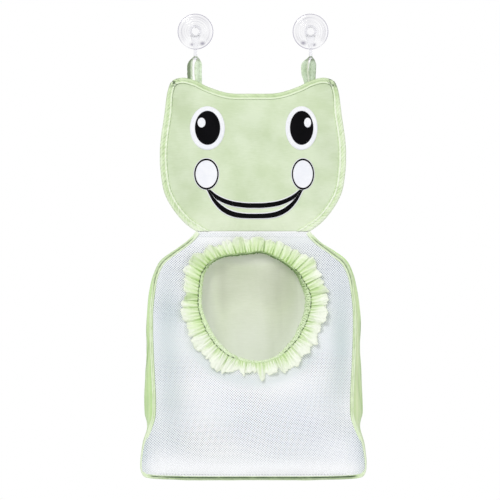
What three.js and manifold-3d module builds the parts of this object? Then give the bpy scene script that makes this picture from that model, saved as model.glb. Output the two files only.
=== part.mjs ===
// A bath toy bag that hangs from two suction hooks: a stiffened head with a smiling face above a
// mesh body with a round gathered mouth.
// Millimetres. X runs to the viewer's right, +Y into the wall and +Z up. The origin lies on the wall
// midway between the suction cups, so the bag faces -Y. A reach is a distance out from the wall.

import * as THREE from 'three';
import { mergeVertices } from 'three/addons/utils/BufferGeometryUtils.js';
import Module from 'manifold-3d';

const wasm = await Module();
wasm.setup();

// Room that touching pieces keep, how far a cut runs past its piece, and the reach of a vertex weld
const gap = 0.3;
const overrun = 6;
const weldReach = 0.0005;

// Suction cups
const cupSpacing = 144;
const cupRadius = 22.25;
const cupLip = 3;
const cupRim = 1.1;
const cupHollow = 2.4;
const cupDome = 10.1;
const cupShoulder = 6;
const cupNeck = 4.25;
const cupKnob = 6.6;
const cupKnobDepth = 4;
const cupSides = 32;
const cupCurveSteps = 4;
const cupBulgeShares = [0.62, 0.75];

// Hooks: a collar on the cup's neck, a tapered arm and a J
const hookPlate = 2.6;
const hookCollar = 8;
const hookRun = 0.35;
const hookWidth = 4.2;
const hookThroat = 3.7;
const hookDrop = 29.6;
const hookTip = 6.5;
const hookSides = 12;

// Hanging loops: a strap that is narrow and edge on in the hook and lies flat at the head
const strapWidth = 8.6;
const strapThickness = 1.3;
const bightWidth = 5.8;
const bightThickness = 2;
const bightBend = 4.6;
const strapSpread = 7.6;
const strapFeetGap = 1.4;
const strapSteps = 36;

// Cloth, inner sheet and tapes
const satin = 1;
const netting = 1;
const stiffener = 2;
const stiffenerInset = 4;
const tapeCloth = 0.8;
const headTape = 7;
const seamTape = 4;
const seamTapeDepth = 3;

// Head, from the tops of the ears down to the neck
const earDrop = 59;
const headHeight = 191;
const headWidth = 231;
const headSteps = 36;

// Body, from the neck down
const bodyHeight = 309;
const bodyWidth = 283;
const bottomDepth = 86;
const wallRoom = 0.5;
const bodySteps = 36;
const bottomSteps = 12;
const gussetSteps = 5;
const hemHeight = 7;
const hemThickness = 1.8;

// Mouth: a folded casing on the mesh's edge, an elastic in its fold and a gathered frill
const mouthDrop = 93;
const mouthRadius = 66;
const casingWidth = 7;
const elasticWidth = 2.4;
const elasticThickness = 1;
const ruffleSeam = 4;
const ruffleWidth = 20;
const ruffleRise = 5;
const ruffleWave = 2.6;
const ruffleFoldCount = 32;
const foldSteps = 6;
const ruffleRings = 2;
const mouthSides = 56;

// Face: thin film pressed on the head
const film = 0.5;
const faceSteps = 16;
const eyeSpread = 58.8;
const eyeDrop = 61.6;
const eyeWidth = 42;
const eyeHeight = 55;
const pupilWidth = 30.3;
const pupilHeight = 42.5;
const glintWidth = 9.1;
const glintHeight = 12;
const glintOut = 7.6;
const glintUp = 6.5;
const cheekSpread = 60.3;
const cheekDrop = 119.6;
const cheekWidth = 29.2;
const cheekHeight = 38.3;
const cheekLine = 1.6;
const smileWidth = 116.8;
const smileDrop = 139.6;
const smileDepth = 34.9;

// Half outlines, right side, clockwise from the front. Head: shares of the half width and of the
// height below the ears, from the middle of the top to the neck.
const headShares = [
  [0, 0.105],
  [0.268, 0.1],
  [0.494, 0.058],
  [0.63, 0.018],
  [0.771, 0],
  [0.872, 0.022],
  [0.912, 0.075],
  [0.953, 0.246],
  [0.99, 0.4],
  [1, 0.5],
  [0.991, 0.613],
  [0.95, 0.749],
  [0.849, 0.861],
  [0.719, 0.95],
  [0.6, 1],
];

// Body: shares of the half width, of the height below the neck, and of the half width by which the
// gusset swells past the front's edge, from the neck round the bottom corner to the middle
const bodyShares = [
  [0.5, 0, 0],
  [0.594, 0.049, 0.012],
  [0.714, 0.091, 0.024],
  [0.806, 0.126, 0.028],
  [0.859, 0.175, 0.03],
  [0.89, 0.239, 0.032],
  [0.908, 0.303, 0.032],
  [0.912, 0.38, 0.034],
  [0.905, 0.492, 0.042],
  [0.894, 0.59, 0.066],
  [0.885, 0.683, 0.08],
  [0.89, 0.748, 0.071],
  [0.922, 0.793, 0.02],
  [0.968, 0.853, 0.01],
  [0.993, 0.922, 0.006],
  [0.99, 0.964, 0.002],
  [0.965, 0.984, 0],
  [0.92, 0.989, 0],
  [0.6, 0.995, 0],
  [0, 1, 0],
];
const cornerShares = [0.92, 0.98];

// Smile, right half: edges of the upper lip, then of the lower lip, as shares of the half width and
// of the depth below the corner
const upperLipTopShares = [[1, 0], [0.8, 0.08], [0.61, 0.265], [0.38, 0.41], [0, 0.48]];
const upperLipBottomShares = [[0.91, 0.2], [0.79, 0.3], [0.6, 0.42], [0.37, 0.56], [0, 0.625]];
const lowerLipTopShares = [[0.91, 0.2], [0.8, 0.43], [0.6, 0.67], [0.37, 0.83], [0, 0.86]];
const lowerLipBottomShares = [[1, 0], [0.85, 0.5], [0.62, 0.81], [0.38, 0.97], [0, 1]];

// Places that follow from the sizes
const collarReach = cupDome + gap;
const knobReach = collarReach + hookPlate + gap;
const swingReach = collarReach + hookPlate + hookThroat;
const headStack = 2 * satin + stiffener + 2 * gap;
const backReach = swingReach - headStack / 2;
const frontReach = swingReach + headStack / 2;
const neckDrop = earDrop + headHeight;
const neckDepth = headStack - satin;
const backNeckReach = backReach + satin / 2;
const frontNeckReach = frontReach - satin / 2;
const backFootReach = wallRoom + seamTapeDepth / 2;
const frontFootReach = backFootReach + bottomDepth;
const backSlope = Math.atan((backNeckReach - backFootReach) / bodyHeight);
const frontSlope = Math.atan((frontFootReach - frontNeckReach) / bodyHeight);

const finish = (color, roughness, opacity = 1) =>
  new THREE.MeshStandardMaterial({ color, roughness, metalness: 0, opacity, transparent: opacity < 1 });
const clearPlastic = finish(0xe9eef4, 0.12, 0.45);
const clearSoft = finish(0xeef1f6, 0.2, 0.45);
const greenSatin = finish(0xd6e8bf, 0.5);
const greenTape = finish(0xcfe8ae, 0.55);
const whiteNet = finish(0xe6ebf2, 0.85);
const whiteFilm = finish(0xf2f3f7, 0.45);
const blackFilm = finish(0x0c0c0e, 0.45);
const innerSheet = finish(0xf4f4f0, 0.8);
const whiteElastic = finish(0xf6f6f4, 0.9);

// A closed body from any geometry: shared vertices merged, empty triangles dropped, facing outwards
function closedBody(geometry) {
  const bare = new THREE.BufferGeometry();
  bare.setAttribute('position', geometry.getAttribute('position'));
  bare.setIndex(geometry.getIndex());
  const merged = mergeVertices(bare, weldReach);
  const position = merged.getAttribute('position');
  const corners = Array.from(merged.getIndex().array);
  const kept = [];
  let volume = 0;
  for (let i = 0; i < corners.length; i += 3) {
    const [a, b, c] = corners.slice(i, i + 3);
    if (a !== b && b !== c && a !== c) {
      kept.push([a, b, c]);
      const [p, q, r] = [a, b, c].map((n) => new THREE.Vector3().fromBufferAttribute(position, n));
      volume += p.dot(q.cross(r));
    }
  }
  const facing = volume > 0 ? kept : kept.map(([a, b, c]) => [a, c, b]);
  merged.setIndex(facing.flat());
  merged.computeVertexNormals();
  return merged;
}

function toSolid(geometry) {
  const body = closedBody(geometry);
  return new wasm.Manifold(new wasm.Mesh({
    numProp: 3,
    vertProperties: body.getAttribute('position').array,
    triVerts: Uint32Array.from(body.getIndex().array),
  }));
}

function fromSolid(solid) {
  const mesh = solid.getMesh();
  const geometry = new THREE.BufferGeometry();
  geometry.setAttribute('position', new THREE.BufferAttribute(mesh.vertProperties, 3));
  geometry.setIndex(Array.from(mesh.triVerts));
  return closedBody(geometry);
}

// A flat plate: an outline in X and Z, standing between two reaches from the group's plane
function plate(outline, near, far) {
  const depth = far - near;
  const curveSegments = mouthSides / 2;
  const geometry = new THREE.ExtrudeGeometry(outline, { depth, bevelEnabled: false, curveSegments });
  return closedBody(geometry.rotateX(Math.PI / 2).translate(0, -near, 0));
}

// A sheet solid on a grid: point(along, across, side) gives its two faces for side -1 and +1
function sheet(rows, columns, point, ring = false) {
  const rowCount = ring ? rows : rows + 1;
  const positions = [];
  for (const side of [-1, 1]) {
    for (let i = 0; i < rowCount; i++) {
      for (let j = 0; j <= columns; j++) {
        positions.push(...point(i / rows, j / columns, side).toArray());
      }
    }
  }
  const near = (i, j) => (i % rowCount) * (columns + 1) + j;
  const far = (i, j) => near(i, j) + rowCount * (columns + 1);
  const index = [];
  const quad = (a, b, c, d) => index.push(a, b, c, a, c, d);
  for (let i = 0; i < rows; i++) {
    for (let j = 0; j < columns; j++) {
      quad(far(i, j), far(i + 1, j), far(i + 1, j + 1), far(i, j + 1));
      quad(near(i, j), near(i, j + 1), near(i + 1, j + 1), near(i + 1, j));
    }
    quad(far(i + 1, 0), far(i, 0), near(i, 0), near(i + 1, 0));
    quad(far(i, columns), far(i + 1, columns), near(i + 1, columns), near(i, columns));
  }
  for (let j = 0; j < columns && !ring; j++) {
    quad(far(0, j), far(0, j + 1), near(0, j + 1), near(0, j));
    quad(far(rows, j + 1), far(rows, j), near(rows, j), near(rows, j + 1));
  }
  const geometry = new THREE.BufferGeometry();
  geometry.setAttribute('position', new THREE.Float32BufferAttribute(positions, 3));
  geometry.setIndex(index);
  return closedBody(geometry);
}

// Moves the points of a clockwise right half outline inwards, square to it
function insetHalf(points, inset) {
  return points.map((point, i) => {
    const before = points[Math.max(i - 1, 0)];
    const after = points[Math.min(i + 1, points.length - 1)];
    const along = after.clone().sub(before).normalize();
    const moved = new THREE.Vector2(point.x + along.y * inset, point.y - along.x * inset);
    return point.x === 0 ? moved.setX(0) : moved;
  });
}

// Ends a half outline on a height: keeps what is above it (sign 1) or below it (sign -1) and runs on
// straight from the last two kept points
function endedAt(points, height, sign) {
  const kept = points.filter((point) => sign * (point.y - height) > gap);
  const [before, last] = kept.slice(-2);
  const step = last.clone().sub(before);
  return [...kept, last.clone().addScaledVector(step, (height - last.y) / step.y)];
}

const mirrored = (points) => points.map((point) => new THREE.Vector2(-point.x, point.y)).reverse();

// Head outline from the middle of the top, with the neck line moved down by a drop
const headCurve = new THREE.SplineCurve(
  headShares.map(([x, z]) => new THREE.Vector2((x * headWidth) / 2, -earDrop - z * headHeight)),
);
const headPoints = headCurve.getSpacedPoints(headSteps);

function headOutline(inset, drop) {
  const right = endedAt(insetHalf(headPoints, inset), -neckDrop - drop, 1);
  return new THREE.Shape([...mirrored(right).slice(0, -1), ...right]);
}

// The head's highest place within a reach of an x, so that a strap can stand on it
const headTopNear = (x, reach) => Math.max(...headCurve.getPoints(headSteps * headSteps)
  .filter((point) => Math.abs(point.x - x) < reach)
  .map((point) => point.y));

// Body outline: x, height below the neck (negative) and the gusset's swell
const bodyCurve = new THREE.CatmullRomCurve3(bodyShares.map(([x, z, swell]) =>
  new THREE.Vector3((x * bodyWidth) / 2, -z * bodyHeight, (swell * bodyWidth) / 2)));
const bodyPoints = bodyCurve.getSpacedPoints(bodySteps);

// How far along the body outline, as a share of it, the first place lies that passes a test
function shareWhere(test) {
  const tries = bodySteps * bodySteps;
  const shares = Array.from({ length: tries }, (_, i) => i / tries);
  return shares.find((share) => test(bodyCurve.getPointAt(share)));
}

// The half outline in a plane that leans out from the neck by a slope, from its own top end down
function leaningHalf(slope, inset, drop) {
  const points = bodyPoints.map((point) => new THREE.Vector2(point.x, point.y / Math.cos(slope)));
  return endedAt(insetHalf(points, inset).reverse(), -drop, -1).reverse();
}

function bodyOutline(slope, inset, drop) {
  const right = leaningHalf(slope, inset, drop);
  return new THREE.Shape([...right, ...mirrored(right).slice(1)]);
}

function bodyBand(slope, width) {
  const outer = leaningHalf(slope, 0, gap);
  const inner = leaningHalf(slope, width, gap);
  const outside = [...outer, ...mirrored(outer).slice(1)];
  const inside = [...inner, ...mirrored(inner).slice(1)];
  return new THREE.Shape([...outside, ...inside.reverse()]);
}

function ellipse(x, z, width, height) {
  const shape = new THREE.Shape();
  shape.absellipse(x, z, width / 2, height / 2, 0, 2 * Math.PI);
  return new THREE.Shape(shape.getPoints(faceSteps).slice(0, -1));
}

function suctionCup() {
  const inner = cupRadius - cupLip;
  const [bulgeOut, bulgeUp] = cupBulgeShares;
  const tip = knobReach + cupKnobDepth;
  const profile = new THREE.Path();
  profile.moveTo(0, -cupHollow);
  profile.quadraticCurveTo(inner * bulgeOut, -cupHollow, inner, 0);
  profile.lineTo(cupRadius, 0);
  profile.lineTo(cupRadius, -cupRim);
  profile.quadraticCurveTo(cupRadius * bulgeOut, -cupDome * bulgeUp, cupShoulder, -cupDome);
  profile.lineTo(cupNeck, -cupDome);
  profile.lineTo(cupNeck, -knobReach);
  profile.lineTo(cupKnob, -knobReach);
  profile.lineTo(cupKnob, -(knobReach + tip) / 2);
  profile.quadraticCurveTo(cupKnob, -tip, 0, -tip);
  return closedBody(new THREE.LatheGeometry(profile.getPoints(cupCurveSteps), cupSides));
}

function hookJ() {
  const outer = hookThroat + hookPlate;
  const round = hookPlate / 2;
  const tipZ = -hookDrop + hookTip - round;
  const shape = new THREE.Shape();
  shape.moveTo(swingReach - outer, -hookDrop + hookPlate);
  shape.lineTo(swingReach - outer, -hookDrop);
  shape.absarc(swingReach, -hookDrop, outer, Math.PI, 2 * Math.PI, false);
  shape.lineTo(swingReach + outer, tipZ);
  shape.absarc(swingReach + outer - round, tipZ, round, 0, Math.PI);
  shape.lineTo(swingReach + hookThroat, -hookDrop);
  shape.absarc(swingReach, -hookDrop, hookThroat, 2 * Math.PI, Math.PI, true);
  shape.lineTo(swingReach - hookThroat, -hookDrop + hookPlate);
  const settings = { depth: hookWidth, bevelEnabled: false, curveSegments: hookSides };
  const geometry = new THREE.ExtrudeGeometry(shape, settings);
  return geometry.translate(0, 0, -hookWidth / 2).rotateX(Math.PI / 2).rotateZ(-Math.PI / 2);
}

function hook() {
  const middle = collarReach + hookPlate / 2;
  const boreRadius = cupNeck + hookRun;
  const collar = new THREE.CylinderGeometry(hookCollar, hookCollar, hookPlate, cupSides);
  const bore = new THREE.CylinderGeometry(boreRadius, boreRadius, hookPlate + overrun, cupSides);
  const arm = new THREE.Shape([
    new THREE.Vector2(-hookCollar, 0),
    new THREE.Vector2(-hookWidth / 2, -hookDrop),
    new THREE.Vector2(hookWidth / 2, -hookDrop),
    new THREE.Vector2(hookCollar, 0),
  ]);
  const plateSolid = toSolid(collar.translate(0, -middle, 0))
    .add(toSolid(plate(arm, collarReach, collarReach + hookPlate)))
    .add(toSolid(hookJ()));
  return fromSolid(plateSolid.subtract(toSolid(bore.translate(0, -middle, 0))));
}

// The strap's middle line runs up one leg, over the swing axis inside the J, and down the other leg
function hangingLoop(footZ) {
  const foot = (strapWidth + strapFeetGap) / 2;
  const bendZ = -hookDrop - bightBend;
  const legSpan = bendZ - footZ;
  const bend = Math.SQRT1_2 * bightBend;
  const left = [
    new THREE.Vector3(-foot, 0, footZ),
    new THREE.Vector3(-strapSpread, 0, footZ + legSpan / 2),
    new THREE.Vector3(-bightBend, 0, bendZ),
    new THREE.Vector3(-bend, 0, bendZ + bend),
  ];
  const right = left.map((point) => new THREE.Vector3(-point.x, 0, point.z)).reverse();
  const line = new THREE.CatmullRomCurve3([...left, new THREE.Vector3(0, 0, -hookDrop), ...right]);
  const across = new THREE.Vector3(0, 1, 0);
  const point = (along, share, side) => {
    const place = line.getPointAt(along);
    const tangent = along === 0 || along === 1
      ? new THREE.Vector3(0, 0, along === 0 ? 1 : -1)
      : line.getTangentAt(along);
    const outward = tangent.clone().cross(across);
    const leg = THREE.MathUtils.smoothstep(Math.abs(2 * along - 1), bightBend / legSpan, 1);
    const turn = (leg * Math.PI) / 2;
    const wide = THREE.MathUtils.lerp(bightWidth, strapWidth, leg) * (share - 1 / 2);
    const thick = (THREE.MathUtils.lerp(bightThickness, strapThickness, leg) * side) / 2;
    return place
      .addScaledVector(across, wide * Math.cos(turn) - thick * Math.sin(turn))
      .addScaledVector(outward, wide * Math.sin(turn) + thick * Math.cos(turn))
      .setY(place.y - swingReach);
  };
  return sheet(strapSteps, 1, point);
}

// Head: two satin sheets on a stiff inner sheet, with a folded tape over their edges
function headBinding() {
  const tapeRoom = tapeCloth + gap;
  const outside = plate(headOutline(0, -gap), backReach - tapeRoom, frontReach + tapeRoom);
  const window = plate(headOutline(headTape, overrun), backReach - overrun, frontReach + overrun);
  const slot = plate(headOutline(tapeCloth, overrun), backReach - gap, frontReach + gap);
  return fromSolid(toSolid(outside).subtract(toSolid(window)).subtract(toSolid(slot)));
}

function backPanel() {
  const head = plate(headOutline(tapeCloth + gap, -gap), -satin / 2, satin / 2);
  const body = plate(bodyOutline(backSlope, seamTape + gap, -satin), -satin / 2, satin / 2)
    .rotateX(backSlope)
    .translate(0, 0, -neckDrop);
  return fromSolid(toSolid(head).add(toSolid(body)).translate([0, -backNeckReach, 0]));
}

// Gusset and bottom: sheets between the two tapes, swelling outwards between them. The places are
// shares of the body outline, negative on its left half.
function wallBetween(from, to, steps) {
  const room = seamTapeDepth / 2 / Math.cos(frontSlope) + gap;
  const point = (along, across, side) => {
    const share = THREE.MathUtils.lerp(from, to, along);
    const edge = bodyCurve.getPointAt(Math.min(share, 2 - share));
    const tangent = bodyCurve.getTangentAt(Math.min(share, 2 - share));
    const out = new THREE.Vector2(-tangent.y, tangent.x).normalize();
    const swell = (seamTape / 2 - satin / 2 + edge.z) * Math.sin(across * Math.PI);
    const offset = swell - seamTape / 2 + (side * satin) / 2;
    const x = (edge.x + out.x * offset) * (share > 1 ? -1 : 1);
    const height = edge.y + out.y * offset;
    const back = backNeckReach + height * Math.tan(backSlope) + room;
    const front = frontNeckReach - height * Math.tan(frontSlope) - room;
    return new THREE.Vector3(x, -THREE.MathUtils.lerp(back, front, across), height - neckDrop);
  };
  return sheet(steps, gussetSteps, point);
}

// The gusset starts where the bag is deep enough for it between the tapes, and ends past the corner
const gussetRoom = seamTapeDepth / Math.cos(frontSlope) + 2 * gap + satin - neckDepth;
const gussetStart = gussetRoom / (Math.tan(frontSlope) + Math.tan(backSlope));
const gussetTop = shareWhere((point) => point.y < -gussetStart);
const [cornerOut, cornerDown] = cornerShares;
const gussetFoot = shareWhere((point) =>
  point.y < -cornerDown * bodyHeight && point.x < (cornerOut * bodyWidth) / 2);
const bottomStart = gussetFoot + gap / bodyCurve.getLength();

// Mouth pieces, round an axis square to the front and centred on the mouth
function mouthCasing() {
  const slot = netting / 2 + gap;
  const outer = slot + tapeCloth;
  const fold = mouthRadius + tapeCloth;
  const rim = mouthRadius + casingWidth;
  const profile = [
    [mouthRadius, -outer],
    [rim, -outer],
    [rim, -slot],
    [fold, -slot],
    [fold, slot],
    [rim, slot],
    [rim, outer],
    [mouthRadius, outer],
    [mouthRadius, -outer],
  ];
  const points = profile.map(([r, y]) => new THREE.Vector2(r, y));
  return closedBody(new THREE.LatheGeometry(points, mouthSides));
}

function mouthElastic() {
  const inner = mouthRadius + tapeCloth + gap;
  const outer = inner + elasticWidth;
  const y = elasticThickness / 2;
  const profile = [[inner, -y], [outer, -y], [outer, y], [inner, y], [inner, -y]];
  const points = profile.map(([r, h]) => new THREE.Vector2(r, h));
  return closedBody(new THREE.LatheGeometry(points, mouthSides));
}

function mouthRuffle() {
  const base = netting / 2 + gap + tapeCloth + gap + tapeCloth / 2;
  const inner = mouthRadius + ruffleSeam;
  const point = (along, across, side) => {
    const angle = along * 2 * Math.PI;
    const radius = inner + ruffleWidth * across;
    const wave = ruffleWave * across * Math.cos(angle * ruffleFoldCount);
    const rise = base + ruffleRise * across + wave + (side * tapeCloth) / 2;
    return new THREE.Vector3(radius * Math.cos(angle), -rise, radius * Math.sin(angle));
  };
  return sheet(ruffleFoldCount * foldSteps, ruffleRings, point, true);
}

function frontMesh() {
  const outline = bodyOutline(frontSlope, seamTape + gap, hemHeight + 2 * gap);
  const hole = new THREE.Path();
  const radius = mouthRadius + tapeCloth + gap + elasticWidth + gap;
  hole.absarc(0, -mouthDrop / Math.cos(frontSlope), radius, 0, 2 * Math.PI, false);
  outline.holes.push(new THREE.Path(hole.getPoints(mouthSides).slice(0, -1)));
  return plate(outline, -netting / 2, netting / 2);
}

function smile() {
  const place = ([x, z]) =>
    new THREE.Vector2((x * smileWidth) / 2, -earDrop - smileDrop - z * smileDepth);
  const half = (shares) => new THREE.SplineCurve(shares.map(place)).getPoints(faceSteps);
  const loop = (top, bottom) => {
    const right = [...half(top).reverse(), ...half(bottom).slice(1)];
    const left = mirrored(right).slice(1, -1);
    return [...right, ...left];
  };
  const outline = new THREE.Shape(loop(upperLipTopShares, lowerLipBottomShares));
  outline.holes.push(new THREE.Path(loop(upperLipBottomShares, lowerLipTopShares).reverse()));
  return outline;
}

const bathToyBag = new THREE.Group();

function piece(parent, name, geometry, material) {
  const mesh = new THREE.Mesh(geometry, material);
  mesh.name = name;
  parent.add(mesh);
  return mesh;
}

// A layer of film on the head's front, the lowest layer first
function faceFilm(name, outline, layer, material) {
  const near = frontReach + gap + layer * (film + gap);
  return piece(bathToyBag, name, plate(outline, near, near + film), material);
}

const sides = [['left', -1], ['right', 1]];
const footZ = headTopNear(cupSpacing / 2, strapWidth + strapFeetGap) + gap;
for (const [side, sign] of sides) {
  const holder = new THREE.Group();
  holder.position.x = (sign * cupSpacing) / 2;
  piece(holder, `${side}_suction_cup`, suctionCup(), clearSoft);
  piece(holder, `${side}_hook`, hook(), clearPlastic);
  piece(holder, `${side}_loop`, hangingLoop(footZ), greenSatin);
  bathToyBag.add(holder);
}

piece(bathToyBag, 'back_panel', backPanel(), greenSatin);
const stiffReach = backReach + satin + gap;
const stiffOutline = headOutline(tapeCloth + gap + stiffenerInset, -stiffenerInset);
piece(bathToyBag, 'head_stiffener', plate(stiffOutline, stiffReach, stiffReach + stiffener), innerSheet);
const faceOutline = headOutline(tapeCloth + gap, -gap);
piece(bathToyBag, 'head_front_panel', plate(faceOutline, frontReach - satin, frontReach), greenSatin);
piece(bathToyBag, 'head_binding', headBinding(), greenTape);

for (const [side, sign] of sides) {
  const eyeZ = -earDrop - eyeDrop;
  const eyeX = sign * eyeSpread;
  faceFilm(`${side}_eye_white`, ellipse(eyeX, eyeZ, eyeWidth, eyeHeight), 0, whiteFilm);
  faceFilm(`${side}_pupil`, ellipse(eyeX, eyeZ, pupilWidth, pupilHeight), 1, blackFilm);
  const glint = ellipse(eyeX + sign * glintOut, eyeZ + glintUp, glintWidth, glintHeight);
  faceFilm(`${side}_glint`, glint, 2, whiteFilm);
  const cheekX = sign * cheekSpread;
  const cheekZ = -earDrop - cheekDrop;
  faceFilm(`${side}_cheek`, ellipse(cheekX, cheekZ, cheekWidth, cheekHeight), 0, whiteFilm);
  const rim = ellipse(cheekX, cheekZ, cheekWidth, cheekHeight);
  const inside = ellipse(cheekX, cheekZ, cheekWidth - 2 * cheekLine, cheekHeight - 2 * cheekLine);
  rim.holes.push(new THREE.Path(inside.getPoints()));
  faceFilm(`${side}_cheek_outline`, rim, 1, blackFilm);
}
faceFilm('smile', smile(), 0, blackFilm);

const back = new THREE.Group();
back.position.set(0, -backNeckReach, -neckDrop);
back.rotation.x = backSlope;
const tapeNear = -seamTapeDepth / 2;
piece(back, 'back_binding', plate(bodyBand(backSlope, seamTape), tapeNear, -tapeNear), greenTape);
bathToyBag.add(back);

const front = new THREE.Group();
front.position.set(0, -frontNeckReach, -neckDrop);
front.rotation.x = -frontSlope;
piece(front, 'front_mesh_panel', frontMesh(), whiteNet);
piece(front, 'front_binding', plate(bodyBand(frontSlope, seamTape), tapeNear, -tapeNear), greenTape);
const hemEnd = leaningHalf(frontSlope, seamTape + gap, gap)[0].x;
const hemOutline = new THREE.Shape([
  new THREE.Vector2(-hemEnd, -gap),
  new THREE.Vector2(-hemEnd, -gap - hemHeight),
  new THREE.Vector2(hemEnd, -gap - hemHeight),
  new THREE.Vector2(hemEnd, -gap),
]);
piece(front, 'neck_hem', plate(hemOutline, -hemThickness / 2, hemThickness / 2), whiteNet);
const mouth = new THREE.Group();
mouth.position.z = -mouthDrop / Math.cos(frontSlope);
piece(mouth, 'mouth_casing', mouthCasing(), greenSatin);
piece(mouth, 'mouth_elastic', mouthElastic(), whiteElastic);
piece(mouth, 'mouth_ruffle', mouthRuffle(), greenSatin);
front.add(mouth);
bathToyBag.add(front);

const mirrorX = (geometry) => closedBody(geometry.clone().scale(-1, 1, 1));
const rightGusset = wallBetween(gussetTop, gussetFoot, bodySteps);
piece(bathToyBag, 'right_gusset', rightGusset, greenSatin);
piece(bathToyBag, 'left_gusset', mirrorX(rightGusset), greenSatin);
const bottomPanel = wallBetween(bottomStart, 2 - bottomStart, bottomSteps);
piece(bathToyBag, 'bottom_panel', bottomPanel, greenSatin);

export default bathToyBag;
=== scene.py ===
import math

import bmesh
import bpy
import numpy as np
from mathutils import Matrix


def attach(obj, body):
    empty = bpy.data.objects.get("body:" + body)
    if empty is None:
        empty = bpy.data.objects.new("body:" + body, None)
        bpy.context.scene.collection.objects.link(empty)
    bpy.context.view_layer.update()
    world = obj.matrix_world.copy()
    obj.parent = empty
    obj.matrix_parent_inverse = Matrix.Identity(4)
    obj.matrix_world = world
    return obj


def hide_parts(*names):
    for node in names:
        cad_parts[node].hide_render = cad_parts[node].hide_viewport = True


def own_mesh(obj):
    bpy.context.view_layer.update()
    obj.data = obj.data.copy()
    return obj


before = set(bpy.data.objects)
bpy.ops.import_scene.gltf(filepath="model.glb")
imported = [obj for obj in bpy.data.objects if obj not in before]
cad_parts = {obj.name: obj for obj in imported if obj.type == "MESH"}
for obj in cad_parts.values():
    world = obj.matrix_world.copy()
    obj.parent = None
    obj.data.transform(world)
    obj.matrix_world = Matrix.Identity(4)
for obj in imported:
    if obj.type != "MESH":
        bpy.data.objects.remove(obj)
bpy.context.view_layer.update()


# Stage: a pale floor below the bag, white surroundings, one large soft lamp high in front on the
# left, a weaker one on the right and a third one behind. The camera looks straight at the bag from
# far off, so that one pixel of 500 is 1.25 mm at the head.
PICTURE_WIDTH = 0.625
PICTURE_MIDDLE = (-0.00375, -0.2735)
SENSOR_WIDTH = 36
CAMERA_AWAY = 10.0
HEAD_REACH = 0.0185
BAG_MIDDLE = (0, 0, -0.3)


def stand(name, data):
    """An object for a mesh, a lamp or a camera, put in the scene."""
    made = bpy.data.objects.new(name, data)
    bpy.context.scene.collection.objects.link(made)
    return made


camera = stand("camera", bpy.data.cameras.new("camera"))
camera.data.sensor_width = SENSOR_WIDTH
camera.data.lens = SENSOR_WIDTH * CAMERA_AWAY / PICTURE_WIDTH
camera.data.clip_end = 60
camera.location = (PICTURE_MIDDLE[0], -HEAD_REACH - CAMERA_AWAY, PICTURE_MIDDLE[1])
camera.rotation_euler = (math.pi / 2, 0, 0)
bpy.context.scene.camera = camera
bpy.context.scene.view_settings.view_transform = "Standard"


def lamp(name, place, size, power):
    """A square soft lamp of a size in metres at a place, facing the bag, and unseen through plastic."""
    light = bpy.data.lights.new(name, "AREA")
    light.shape = "SQUARE"
    light.size = size
    light.energy = power
    holder = stand(name, light)
    holder.location = place
    away = np.array(place) - np.array(BAG_MIDDLE)
    across = math.hypot(away[0], away[1])
    holder.rotation_euler = (math.atan2(across, away[2]), 0, math.atan2(away[0], -away[1]))
    holder.visible_transmission = False


lamp("key", (-1.1, -2.3, 1.5), 1.2, 33)
lamp("fill", (1.7, -1.9, 0.2), 1.4, 8)
lamp("behind", (0.3, 2.2, 0.6), 1.6, 14)


def node(tree, kind, inputs=None, **settings):
    """Adds a shader node; an input takes a value, or the output socket that feeds it."""
    made = tree.nodes.new("ShaderNode" + kind)
    for key, value in settings.items():
        setattr(made, key, value)
    for key, value in (inputs or {}).items():
        if isinstance(value, bpy.types.NodeSocket):
            tree.links.new(value, made.inputs[key])
        else:
            made.inputs[key].default_value = value
    return made


def math_node(tree, operation, *values):
    """The output of one sum."""
    return node(tree, "Math", dict(enumerate(values)), operation=operation).outputs[0]


def surroundings(strength):
    """White for the camera and in glass and gloss, and a plain even light on the object."""
    world = bpy.data.worlds.new("surroundings")
    world.use_nodes = True
    tree = world.node_tree
    light, seen = (node(tree, "Background", {"Color": (1, 1, 1, 1), "Strength": s}) for s in (strength, 1.0))
    path = node(tree, "LightPath").outputs
    shows = math_node(tree, "MAXIMUM", path["Is Camera Ray"],
                      math_node(tree, "MAXIMUM", path["Is Glossy Ray"], path["Is Transmission Ray"]))
    both = node(tree, "MixShader", {0: shows, 1: light.outputs[0], 2: seen.outputs[0]})
    tree.links.new(both.outputs[0], tree.nodes["World Output"].inputs["Surface"])
    bpy.context.scene.world = world


surroundings(0.56)


def ink(red, green, blue):
    """A screen colour of 0 to 255 as linear light: the 2.4 power above the dark end."""
    screen = np.array([red, green, blue]) / 255
    linear = np.where(screen > 0.04045, ((screen + 0.055) / 1.055) ** 2.4, screen / 12.92)
    return (*linear.tolist(), 1.0)


def finish(name, **settings):
    """A material, its node tree and its shader, with the settings on the shader's own sockets."""
    material = bpy.data.materials.new(name)
    material.use_nodes = True
    shader = material.node_tree.nodes["Principled BSDF"]
    for socket, value in settings.items():
        shader.inputs[socket.replace("_", " ")].default_value = value
    return material, material.node_tree, shader


FLOOR_HEIGHT = -0.66
FLOOR_HALF = 1.7
floor_mesh = bpy.data.meshes.new("floor")
floor_corners = [(-FLOOR_HALF, -FLOOR_HALF), (FLOOR_HALF, -FLOOR_HALF), (FLOOR_HALF, FLOOR_HALF),
                 (-FLOOR_HALF, FLOOR_HALF)]
floor_mesh.from_pydata([(x, y, FLOOR_HEIGHT) for x, y in floor_corners], [], [(0, 1, 2, 3)])
floor_mesh.materials.append(finish("pale floor", Base_Color=ink(244, 244, 246), Roughness=0.9)[0])
stand("floor", floor_mesh)


# Suction cups: clear soft plastic, moulded in one with a short neck and a knob. The dome has fine
# moulded rings and a thicker lip, and the knob keeps the hook's collar on the neck.
CUP_SPREAD = 72.0
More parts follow.
